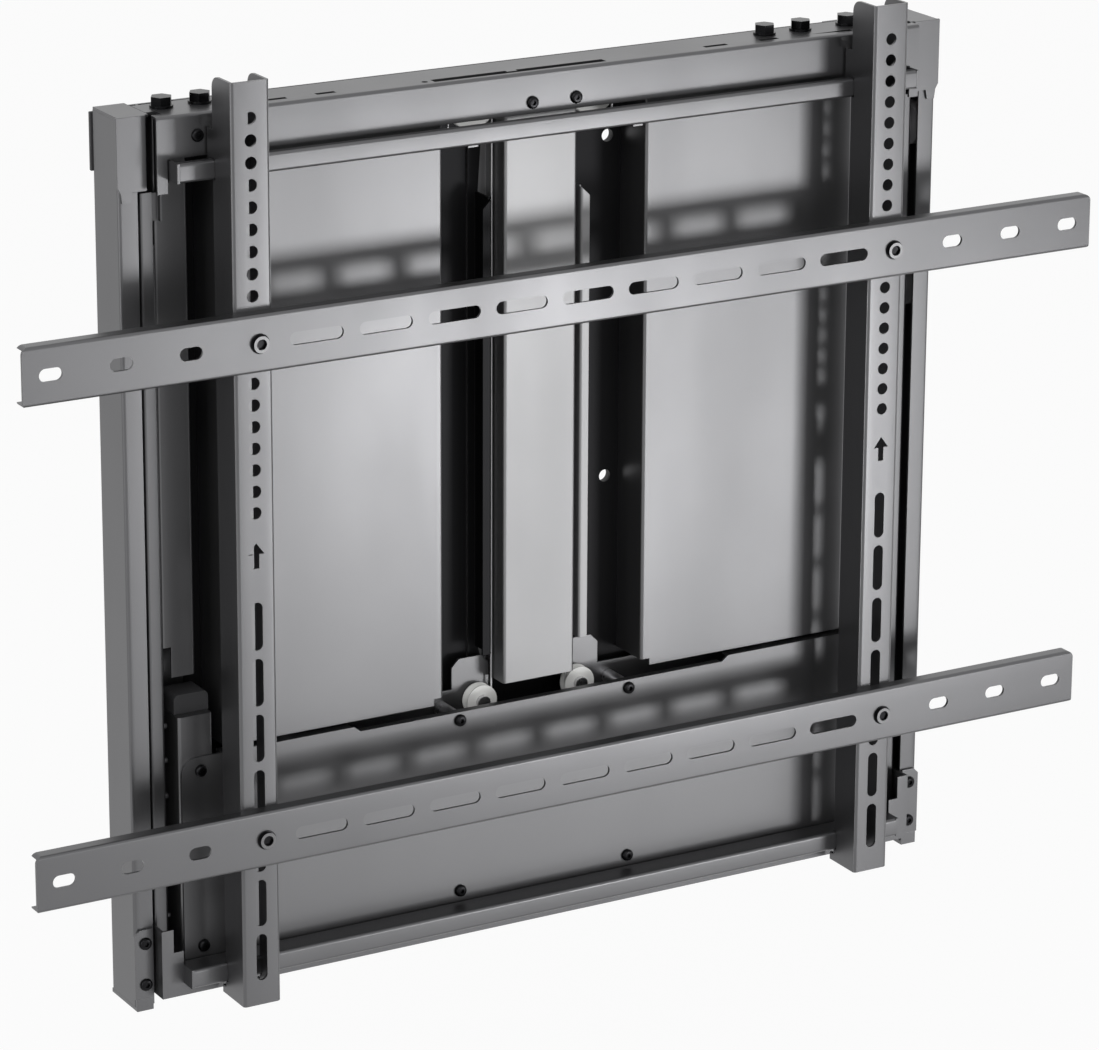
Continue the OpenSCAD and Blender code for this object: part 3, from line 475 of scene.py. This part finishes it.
def run_tree(piece, tree, name, **inputs):
    """Runs a node tree on a piece with inputs set by identifier, and bakes the result to a mesh."""
    modifier = piece.modifiers.new("shape", "NODES")
    modifier.node_group = tree
    for item in tree.interface.items_tree:
        if item.item_type == "SOCKET" and item.in_out == "INPUT" and item.name in inputs:
            modifier[item.identifier] = inputs[item.name]
    return with_modifiers_applied(piece, name)


def points_piece(name, places):
    mesh = bpy.data.meshes.new(name)
    mesh.from_pydata([tuple(p) for p in places], [], [])
    piece = bpy.data.objects.new(name, mesh)
    bpy.context.scene.collection.objects.link(piece)
    return piece


def heads(name, head, places, material, body, slot, *nodes):
    """One piece of repeated heads that rides on a body and may stand for CAD nodes."""
    base = points_piece(name + "_points", places)
    made = run_tree(base, repeat_tree(), name, Head=head, Size=1.0, Finish=material)
    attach(made, body)
    if nodes:
        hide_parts(*nodes)


# Sheet parts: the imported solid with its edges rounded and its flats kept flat


def body_of_node(node):
    for body, nodes in frame["record"]["behaviour"]["bodies"].items():
        if node in nodes:
            return body
    raise RuntimeError(node + " is on no body")


# Points closer than this are one point, in metres
MERGE_WITHIN = 2e-6
# Faces that meet at less than the first angle are one flat face, and past the second the edge is rounded
FLAT_DEGREES = 0.4
SHARP_DEGREES = 35


def softened(node, material, width):
    """A copy of a CAD node with its cut edges rounded, which stands for the node."""
    bm = bmesh.new()
    bm.from_mesh(frame["nodes"][node].data)
    bmesh.ops.remove_doubles(bm, verts=bm.verts, dist=MERGE_WITHIN)
    bmesh.ops.dissolve_limit(bm, angle_limit=math.radians(FLAT_DEGREES), verts=bm.verts, edges=bm.edges)
    steep = math.radians(SHARP_DEGREES)
    sharp = [e for e in bm.edges if len(e.link_faces) == 2 and e.calc_face_angle(0) > steep]
    bmesh.ops.bevel(bm, geom=sharp, offset=width, segments=2, profile=0.6, affect="EDGES",
                    clamp_overlap=True, loop_slide=True)
    bmesh.ops.triangulate(bm, faces=[f for f in bm.faces if len(f.verts) > 4])
    smooth_by_angle(bm, 50)
    piece = from_bmesh(bm, node + "_dressed")
    piece.data.materials.append(material)
    weigh = piece.modifiers.new("flat faces", "WEIGHTED_NORMAL")
    weigh.keep_sharp = True
    weigh.weight = 100
    made = with_modifiers_applied(piece, node + "_dressed")
    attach(made, body_of_node(node))
    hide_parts(node)
    return made


OUTER_SHEET = ["column_left", "column_right", "top_beam", "top_caps", "corner_plates", "column_feet"]
INNER_SHEET = ["guide_channels", "housing_left", "housing_right", "lower_cover",
               "cover_brackets", "pulley_plates"]
CARRIAGE_SHEET = ["slide_profile_left", "slide_profile_right", "hook_rail_top", "hook_rail_bottom",
                  "rail_brackets", "lower_crossbar", "cable_anchors"]
DISPLAY_SHEET = ["arm_left", "arm_right", "bar_upper", "bar_lower"]
BALANCE_STEEL = ["crosshead_left", "crosshead_right", "spring_hanger_left", "spring_hanger_right"]


def soften_all(nodes, material, width=None):
    for node in nodes:
        softened(node, material, width or bpy.context.scene.sheet_settings.edge_round)


class MOUNT_OT_frame_sheet(Operator):
    """Dress the outer sheet parts of the wall frame"""

    bl_idname = "mount.frame_sheet"
    bl_label = "Frame sheet parts"

    def execute(self, context):
        soften_all(OUTER_SHEET, coat())
        return {"FINISHED"}


# Painted shade on the mast's left flange lies past this place across, and in front of this depth
SHADE_FLANGE_X = -33.5 * MM
SHADE_FLANGE_Y = -8 * MM


def dress_mast():
    """The mast with its paler coat standing for painted light, and painted shade in near-black on its left
    flange.
    """
    mast = softened("mast", mast_lit_coat(), bpy.context.scene.sheet_settings.edge_round)
    mast.data.materials.append(back_plate_shade_coat())
    # Painted shade: the left flange's faces take the near-black back plate coat
    for face in mast.data.polygons:
        if face.center.x < SHADE_FLANGE_X and face.center.y < SHADE_FLANGE_Y:
            face.material_index = 1


class MOUNT_OT_inner_sheet(Operator):
    """Dress the plates, housings, mast and covers inside the frame"""

    bl_idname = "mount.inner_sheet"
    bl_label = "Inner sheet parts"

    def execute(self, context):
        soften_all(["back_plate"], back_plate_shade_coat())
        dress_mast()
        soften_all(INNER_SHEET, inner_coat())
        return {"FINISHED"}


class MOUNT_OT_carriage_sheet(Operator):
    """Dress the carriage's slides, rails, brackets and crossbar"""

    bl_idname = "mount.carriage_sheet"
    bl_label = "Carriage sheet parts"

    def execute(self, context):
        soften_all(CARRIAGE_SHEET, coat())
        return {"FINISHED"}


class MOUNT_OT_display_sheet(Operator):
    """Dress the display arms and the slotted bars"""

    bl_idname = "mount.display_sheet"
    bl_label = "Display arms and bars"

    def execute(self, context):
        soften_all(DISPLAY_SHEET, coat())
        return {"FINISHED"}


class MOUNT_OT_balance_steel(Operator):
    """Dress the crossheads and spring hangers inside the housings"""

    bl_idname = "mount.balance_steel"
    bl_label = "Balance blocks"

    def execute(self, context):
        soften_all(BALANCE_STEEL, inner_coat())
        return {"FINISHED"}


class MOUNT_OT_rubber_parts(Operator):
    """Dress the wall pads and the stop buffers"""

    bl_idname = "mount.rubber_parts"
    bl_label = "Rubber parts"

    def execute(self, context):
        soften_all(["wall_pads", "buffers"], rubber(), 0.6 * MM)
        return {"FINISHED"}


class MOUNT_OT_wheels(Operator):
    """Dress the cable pulleys and the guide rollers"""

    bl_idname = "mount.wheels"
    bl_label = "Pulleys and rollers"

    def execute(self, context):
        for side in ("left", "right"):
            pulleys = [kind + "_pulley_" + side for kind in ("lower", "upper", "turning", "block")]
            soften_all(pulleys, nylon(), 0.25 * MM)
            rollers = ["guide_roller_" + side + "_" + end for end in ("upper", "lower")]
            soften_all(rollers, grey_nylon(), 0.5 * MM)
        return {"FINISHED"}


class MOUNT_OT_axles(Operator):
    """Dress the pulley bolts, roller axles, cover posts and bar nuts"""

    bl_idname = "mount.axles"
    bl_label = "Axles and posts"

    def execute(self, context):
        nodes = ["pulley_axles", "roller_axles", "cover_posts", "bar_nuts"]
        soften_all(nodes, bright_zinc(), 0.3 * MM)
        return {"FINISHED"}


# Fasteners


# Share of a button head's radius that is flat on top, and share of its height that is upright rim
FLAT_TOP = 0.62
RIM = 0.15


def socket_head(radius, height, key_radius, key_depth):
    """A button head that faces -Y, seated on Y = 0, with a hexagon socket."""
    steps, sides = 36, 6
    profile = [(radius * 0.98, -0.2 * MM), (radius, RIM * height)]
    for k in range(1, 6):
        a = math.radians(15 * k)
        share_out = FLAT_TOP + (1 - FLAT_TOP) * math.cos(a)
        share_up = RIM + (1 - RIM) * math.sin(a)
        profile.append((radius * share_out, height * share_up))
    flat = radius * FLAT_TOP
    bm = bmesh.new()
    rings = [[bm.verts.new((r * math.cos(2 * math.pi * k / steps), r * math.sin(2 * math.pi * k / steps), z))
              for k in range(steps)] for r, z in profile + [(flat, height)]]

    def corner(k, z, grow=1.0):
        a = 2 * math.pi * k / steps
        part = math.pi / sides
        r = key_radius * grow * math.cos(part) / math.cos((a % (2 * part)) - part)
        return bm.verts.new((r * math.cos(a), r * math.sin(a), z))

    rings.append([corner(k, height, 1.06) for k in range(steps)])
    rings.append([corner(k, height - 0.12 * key_depth) for k in range(steps)])
    rings.append([corner(k, height - key_depth) for k in range(steps)])
    for low, high in zip(rings, rings[1:]):
        for k in range(steps):
            m = (k + 1) % steps
            bm.faces.new((low[k], low[m], high[m], high[k]))
    bm.faces.new(rings[-1])
    bm.faces.new(list(reversed(rings[0])))
    bmesh.ops.recalc_face_normals(bm, faces=bm.faces)
    bmesh.ops.rotate(bm, verts=bm.verts, cent=(0, 0, 0), matrix=Matrix.Rotation(math.radians(90), 3, "X"))
    smooth_by_angle(bm, 32)
    return from_bmesh(bm, "head_pattern")


# Places of the screws in millimetres, for the right half of the mount
COVER_SCREW_X = (69.0, 271.5)
COVER_SCREW_Z = (-149.0, -278.0)
CORNER_SCREW_X = 315.4
CORNER_SCREW_Z = (-268.3, -298.8)
BEAM_SCREWS = ((17.2, 292.8), (270.0, 299.0))
# Hexagon socket of the screws: radius, depth in a cover screw and depth in a low screw
SCREW_KEY = (1.7 * MM, 1.7 * MM, 1.4 * MM)
LOW_SCREW_HEIGHT = 2.4 * MM


def screw_places():
    """Seats of the screws, on the plates that carry them."""
    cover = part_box("lower_cover")[0].y
    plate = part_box("corner_plates")[0].y
    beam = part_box("top_beam")[0].y
    places = {"cover": [], "corner": [], "beam": []}
    for s in (-1, 1):
        for x in COVER_SCREW_X:
            for z in COVER_SCREW_Z:
                places["cover"].append((s * x * MM, cover, z * MM))
        for z in CORNER_SCREW_Z:
            places["corner"].append((s * CORNER_SCREW_X * MM, plate, z * MM))
        for x, z in BEAM_SCREWS:
            places["beam"].append((s * x * MM, beam, z * MM))
    return places


class MOUNT_OT_frame_screws(Operator):
    """Button-head screws on the cover, the corner plates and the beam"""

    bl_idname = "mount.frame_screws"
    bl_label = "Frame screws"

    def execute(self, context):
        s = context.scene.fastener_settings
        places = screw_places()
        key_radius, key_depth, low_key_depth = SCREW_KEY
        head = socket_head(s.screw_radius, s.screw_height, key_radius, key_depth)
        low = socket_head(s.screw_radius, LOW_SCREW_HEIGHT, key_radius, low_key_depth)
        heads("frame_screws_dressed", head, places["cover"], black_oxide(), "wall_frame", "black_oxide",
              "frame_screws")
        heads("low_screws_dressed", low, places["corner"] + places["beam"], black_oxide(), "wall_frame",
              "black_oxide")
        bpy.data.objects.remove(head)
        bpy.data.objects.remove(low)
        return {"FINISHED"}


class MOUNT_OT_beam_bolts(Operator):
    """Hex bolts and washers along the top beam, the two adjusters among them"""

    bl_idname = "mount.beam_bolts"
    bl_label = "Beam bolts"

    def execute(self, context):
        nodes = ["beam_bolts", "adjuster_left", "adjuster_right"]
        soften_all(nodes, black_oxide(), 0.35 * MM)
        return {"FINISHED"}


def flat_ring(inner, outer, height, steps=40):
    """A flat ring that faces -Y and stands on Y = 0."""
    bm = bmesh.new()
    rows = [[bm.verts.new((r * math.cos(2 * math.pi * k / steps), -y, r * math.sin(2 * math.pi * k / steps)))
             for k in range(steps)] for r, y in ((inner, 0), (outer, 0), (outer, height), (inner, height))]
    for low, high in zip(rows, rows[1:] + rows[:1]):
        for k in range(steps):
            m = (k + 1) % steps
            bm.faces.new((low[k], low[m], high[m], high[k]))
    bmesh.ops.recalc_face_normals(bm, faces=bm.faces)
    smooth_by_angle(bm, 40)
    return from_bmesh(bm, "ring_pattern")


# Places of the bar bolts in millimetres, across and up
BAR_BOLT_X = (-250, 250)
BAR_BOLT_Z = (166, -184)
# The bolts' front faces, within this depth, sink by this much, and the turned ring stands this high
FACE_DEPTH = 0.4 * MM
FACE_SINK = 0.1 * MM
RING_HEIGHT = 0.15 * MM


class MOUNT_OT_bar_bolts(Operator):
    """Black socket bolts with a turned face where the bars cross the arms"""

    bl_idname = "mount.bar_bolts"
    bl_label = "Bar bolts"

    def execute(self, context):
        s = context.scene.fastener_settings
        bolts = softened("bar_bolts", black_oxide(), 0.3 * MM)
        front = min(v.co.y for v in bolts.data.vertices)
        for v in bolts.data.vertices:
            if v.co.y < front + FACE_DEPTH:
                v.co.y += FACE_SINK
        ring = flat_ring(s.key_radius, s.face_radius, RING_HEIGHT)
        seats = [(x * MM, front + RING_HEIGHT, z * MM) for x in BAR_BOLT_X for z in BAR_BOLT_Z]
        heads("bar_bolt_faces", ring, seats, turned_face(), "display_frame", "zinc")
        bpy.data.objects.remove(ring)
        return {"FINISHED"}


# Depth of the row of rivets, and their heights, in millimetres
RIVET_Y = -34
RIVET_Z = (-116, -141, -167, -255)


def rivet_profile(r):
    """A low domed head as (radius, height), with its foot sunk a little in the wall."""
    return [(r, -0.3 * MM), (r, 1.9 * MM), (0.8 * r, 2.5 * MM), (0.4 * r, 2.9 * MM), (0, 3.0 * MM)]


class MOUNT_OT_rivets(Operator):
    """Rivet heads on the slide profiles' inner walls"""

    bl_idname = "mount.rivets"
    bl_label = "Slide rivets"

    def execute(self, context):
        r = context.scene.fastener_settings.rivet_radius
        for side, sign in (("left", -1), ("right", 1)):
            low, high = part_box("slide_profile_" + side)
            wall = high.x if sign < 0 else low.x
            bm = solid_of_turns(rivet_profile(r), 20)
            bmesh.ops.rotate(bm, verts=bm.verts, cent=(0, 0, 0),
                             matrix=Matrix.Rotation(math.radians(-90 * sign), 3, "Y"))
            smooth_by_angle(bm, 50)
            head = from_bmesh(bm, "rivet_head")
            places = [(wall, RIVET_Y * MM, z * MM) for z in RIVET_Z]
            heads("slide_rivets_" + side, head, places, coat(), "carriage", "sheet_steel")
            bpy.data.objects.remove(head)
        return {"FINISHED"}


# Springs and cables


class MOUNT_OT_springs(Operator):
    """Two helical springs in each housing"""

    bl_idname = "mount.springs"
    bl_label = "Balance springs"

    def execute(self, context):
        s = context.scene.balance_settings
        for side in ("left", "right"):
            node = "springs_" + side
            low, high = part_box(node)
            radius = (high.y - low.y) / 2
            coils = []
            for x in (low.x + radius, high.x - radius):
                base = points_piece(node + "_base", [])
                inputs = {"Turns": float(s.coil_turns), "Radius": radius - s.wire_radius,
                          "Length": high.z - low.z - 2 * s.wire_radius, "Wire radius": s.wire_radius,
                          "Place": (x, (low.y + high.y) / 2, low.z + s.wire_radius), "Finish": spring_steel()}
                coils.append(run_tree(base, coil_tree(), node + "_coil", **inputs))
            bm = bmesh.new()
            for coil in coils:
                bm.from_mesh(coil.data)
                bpy.data.objects.remove(coil)
            bmesh.ops.recalc_face_normals(bm, faces=bm.faces)
            smooth_by_angle(bm, 60)
            pair = from_bmesh(bm, node + "_dressed")
            pair.data.materials.append(spring_steel())
            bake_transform(pair)
            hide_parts(node)
        return {"FINISHED"}


def rope_between(name, places, low, high, radius, rings=40, sides=12):
    """Upright stretches of rope with enough rings to stretch evenly."""
    bm = bmesh.new()
    corners = [(radius * math.cos(2 * math.pi * k / sides), radius * math.sin(2 * math.pi * k / sides))
               for k in range(sides)]
    for x, y in places:
        rows = []
        for i in range(rings + 1):
            z = low + (high - low) * i / rings
            rows.append([bm.verts.new((x + dx, y + dy, z)) for dx, dy in corners])
        for a, b in zip(rows, rows[1:]):
            for k in range(sides):
                m = (k + 1) % sides
                bm.faces.new((a[k], a[m], b[m], b[k]))
        bm.faces.new(list(reversed(rows[0])))
        bm.faces.new(rows[-1])
    smooth_by_angle(bm, 50)
    piece = from_bmesh(bm, name)
    piece.data.materials.append(rope_steel())
    return piece


class MOUNT_OT_cables(Operator):
    """Wire ropes: fixed runs, stretches that change length, and loops on the moving pulleys"""

    bl_idname = "mount.cables"
    bl_label = "Wire ropes"

    def execute(self, context):
        r = context.scene.balance_settings.rope_radius
        for node in ("cables", "cable_loop_left", "cable_loop_right"):
            for holder in frame["nodes"][node].material_slots:
                holder.material = rope_steel()
        low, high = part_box("lift_strands")
        y = (low.y + high.y) / 2
        lift = rope_between("lift_strands_dressed", [(low.x + r, y), (high.x - r, y)], low.z, high.z, r)
        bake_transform(lift)
        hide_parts("lift_strands")
        for side in ("left", "right"):
            node = "block_strands_" + side
            low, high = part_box(node)
            pair = rope_between(node + "_dressed", [(low.x + r, y), (high.x - r, y)], low.z, high.z, r)
            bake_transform(pair)
            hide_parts(node)
        return {"FINISHED"}


# Pressed arrow marks on the lower cover


# Places of the marks in millimetres, and the size, line width and height of each
MARKS = ((-38, -158), (46, -158), (-38, -285), (38, -285))
MARK_SIZE = 3.2 * MM
MARK_WIDTH = 0.9 * MM
MARK_HEIGHT = 0.12 * MM


def chevron(bm, x, z, y):
    """A small raised chevron that points up, on the cover's front."""
    for sign in (-1, 1):
        a = Vector((x, 0, z + MARK_SIZE * 0.5))
        b = Vector((x + sign * MARK_SIZE, 0, z - MARK_SIZE * 0.35))
        along = (b - a).normalized()
        side = Vector((-along.z, 0, along.x)) * MARK_WIDTH / 2
        front, back = [], []
        for p in (a + side, a - side, b - side, b + side):
            front.append(bm.verts.new((p.x, y - MARK_HEIGHT, p.z)))
            back.append(bm.verts.new((p.x, y + MARK_HEIGHT, p.z)))
        bm.faces.new(front)
        bm.faces.new(list(reversed(back)))
        for k in range(4):
            m = (k + 1) % 4
            bm.faces.new((front[k], back[k], back[m], front[m]))


class MOUNT_OT_cover_marks(Operator):
    """Faint pressed chevrons beside the lower cover's inner screws"""

    bl_idname = "mount.cover_marks"
    bl_label = "Cover marks"

    def execute(self, context):
        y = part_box("lower_cover")[0].y
        bm = bmesh.new()
        for x, z in MARKS:
            chevron(bm, x * MM, z * MM, y)
        bmesh.ops.recalc_face_normals(bm, faces=bm.faces)
        marks = from_bmesh(bm, "cover_marks")
        marks.data.materials.append(inner_coat())
        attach(marks, "wall_frame")
        return {"FINISHED"}


# The studio


# Each lamp's place, the point it aims at, and its width and height, in metres
LAMPS = {
    "key": ((-1.6, -2.6, 2.2), (0, 0, 0), (1.6, 1.2)),
    "panel_light": ((1.19, -2.1, -0.70), (0.05, 0, 0.05), (0.5, 0.74)),
    "side": ((-2.6, -0.6, 0.4), (0, 0, 0), (0.6, 1.6)),
}
# Height of the floor, below the lowest place that the carriage reaches, and its half width
FLOOR_Z = -0.78
FLOOR_HALF_WIDTH = 6.0
# Share of the floor's look that is plain white, and how much of that lights the object
FLOOR_GLOW = 0.92
FLOOR_LIGHT = 0.3
# The photograph's size and the lens axis on it, in pixels
IMAGE_SIZE = (1099, 1050)
LENS_AXIS = (547.0, 434.0)
# The camera's yaw, pitch and roll in degrees, and its place in metres
CAMERA_TURN = (29.874, 17.025, 0.264)
CAMERA_PLACE = (-1.5956, -2.8237, 1.0328)


def soft_box(name, power):
    place, aim, size = LAMPS[name]
    lamp = bpy.data.lights.new(name, "AREA")
    lamp.shape = "RECTANGLE"
    lamp.size, lamp.size_y = size
    lamp.energy = power
    holder = bpy.data.objects.new(name, lamp)
    holder.location = place
    holder.rotation_euler = (Vector(aim) - Vector(place)).to_track_quat("-Z", "Y").to_euler()
    bpy.context.scene.collection.objects.link(holder)


def seen_white(tree, strength_behind):
    """1 for what the camera, gloss and glass see, and the given strength for plain light."""
    path = new_node(tree, "ShaderNodeLightPath", (-900, 0))
    either = new_node(tree, "ShaderNodeMath", (-680, 0), operation="MAXIMUM")
    three = new_node(tree, "ShaderNodeMath", (-480, 0), operation="MAXIMUM")
    mix = new_node(tree, "ShaderNodeMapRange", (-260, 0))
    mix.inputs["To Min"].default_value = strength_behind
    mix.inputs["To Max"].default_value = 1.0
    link(tree, path.outputs["Is Camera Ray"], either.inputs[0])
    link(tree, path.outputs["Is Glossy Ray"], either.inputs[1])
    link(tree, either.outputs[0], three.inputs[0])
    link(tree, path.outputs["Is Transmission Ray"], three.inputs[1])
    link(tree, three.outputs[0], mix.inputs["Value"])
    return mix.outputs["Result"]


class MOUNT_OT_stage(Operator):
    """Floor, backdrop, lamps and camera"""

    bl_idname = "mount.stage"
    bl_label = "Studio"

    def execute(self, context):
        s = context.scene.stage_settings
        world = bpy.data.worlds.new("studio")
        context.scene.world = world
        world.use_nodes = True
        sky = world.node_tree.nodes["Background"]
        sky.inputs["Color"].default_value = (1, 1, 1, 1)
        link(world.node_tree, seen_white(world.node_tree, s.sky), sky.inputs["Strength"])
        context.scene.view_settings.view_transform = "Standard"
        self.floor()
        soft_box("key", s.key_power)
        soft_box("panel_light", s.panel_power)
        soft_box("side", s.rim_power)
        self.camera(s.lens_px)
        return {"FINISHED"}

    def floor(self):
        """A pale floor that keeps the object's shadow."""
        bm = bmesh.new()
        bmesh.ops.create_grid(bm, x_segments=1, y_segments=1, size=FLOOR_HALF_WIDTH)
        bmesh.ops.translate(bm, verts=bm.verts, vec=(0, 0, FLOOR_Z))
        ground = from_bmesh(bm, "floor")
        material = bpy.data.materials.new("pale floor")
        material.use_nodes = True
        tree = material.node_tree
        shader = tree.nodes["Principled BSDF"]
        shader.inputs["Base Color"].default_value = (0.9, 0.9, 0.9, 1)
        shader.inputs["Roughness"].default_value = 0.9
        glow = new_node(tree, "ShaderNodeEmission", (0, -200))
        link(tree, seen_white(tree, FLOOR_LIGHT), glow.inputs["Strength"])
        mix = new_node(tree, "ShaderNodeMixShader", (300, 0))
        mix.inputs[0].default_value = FLOOR_GLOW
        link(tree, shader.outputs[0], mix.inputs[1])
        link(tree, glow.outputs[0], mix.inputs[2])
        link(tree, mix.outputs[0], tree.nodes["Material Output"].inputs["Surface"])
        ground.data.materials.append(material)

    def camera(self, lens_px):
        """Camera near the photograph's viewing angle, fitted on the evenly pitched holes."""
        image_w, image_h = IMAGE_SIZE
        axis_x, axis_y = LENS_AXIS
        yaw, pitch, roll = (math.radians(a) for a in CAMERA_TURN)
        ahead = Vector((math.sin(yaw) * math.cos(pitch), math.cos(yaw) * math.cos(pitch), -math.sin(pitch)))
        right = Vector((math.cos(yaw), -math.sin(yaw), 0))
        up = right.cross(ahead)
        turned = right * math.cos(roll) + up * math.sin(roll)
        up = up * math.cos(roll) - right * math.sin(roll)
        data = bpy.data.cameras.new("camera")
        data.sensor_width = 36.0
        data.lens = lens_px / image_w * data.sensor_width
        data.shift_x = -(axis_x - image_w / 2) / image_w
        data.shift_y = (axis_y - image_h / 2) / image_w
        data.clip_start, data.clip_end = 0.05, 60.0
        holder = bpy.data.objects.new("camera", data)
        basis = Matrix((turned, up, -ahead)).transposed().to_4x4()
        holder.matrix_world = Matrix.Translation(Vector(CAMERA_PLACE)) @ basis
        bpy.context.scene.collection.objects.link(holder)
        bpy.context.scene.camera = holder


OPERATORS = [
    MOUNT_OT_frame_sheet, MOUNT_OT_inner_sheet, MOUNT_OT_carriage_sheet, MOUNT_OT_display_sheet,
    MOUNT_OT_balance_steel, MOUNT_OT_rubber_parts, MOUNT_OT_wheels, MOUNT_OT_axles, MOUNT_OT_frame_screws,
    MOUNT_OT_beam_bolts, MOUNT_OT_bar_bolts, MOUNT_OT_rivets, MOUNT_OT_springs, MOUNT_OT_cables,
    MOUNT_OT_cover_marks, MOUNT_OT_stage,
]
GROUPS = {
    "sheet_settings": SheetSettings,
    "fastener_settings": FastenerSettings,
    "balance_settings": BalanceSettings,
    "stage_settings": StageSettings,
}


class MOUNT_PT_looks(Panel):
    """Lists the pieces of the wall mount's looks"""

    bl_idname = "MOUNT_PT_looks"
    bl_label = "Wall mount"
    bl_space_type = "VIEW_3D"
    bl_region_type = "UI"
    bl_category = "Wall mount"

    def draw(self, context):
        for name, kind in GROUPS.items():
            box = self.layout.box()
            for field in kind.__annotations__:
                box.prop(getattr(context.scene, name), field)
        for kind in OPERATORS:
            self.layout.operator(kind.bl_idname)


def register():
    for kind in [*GROUPS.values(), *OPERATORS, MOUNT_PT_looks]:
        bpy.utils.register_class(kind)
    for name, kind in GROUPS.items():
        setattr(bpy.types.Scene, name, PointerProperty(type=kind))


def unregister():
    for name in GROUPS:
        delattr(bpy.types.Scene, name)
    for kind in reversed([*GROUPS.values(), *OPERATORS, MOUNT_PT_looks]):
        bpy.utils.unregister_class(kind)


def main():
    register()
    for kind in OPERATORS:
        group_name, action = kind.bl_idname.split(".")
        getattr(getattr(bpy.ops, group_name), action)()


if __name__ == "__main__":
    main()
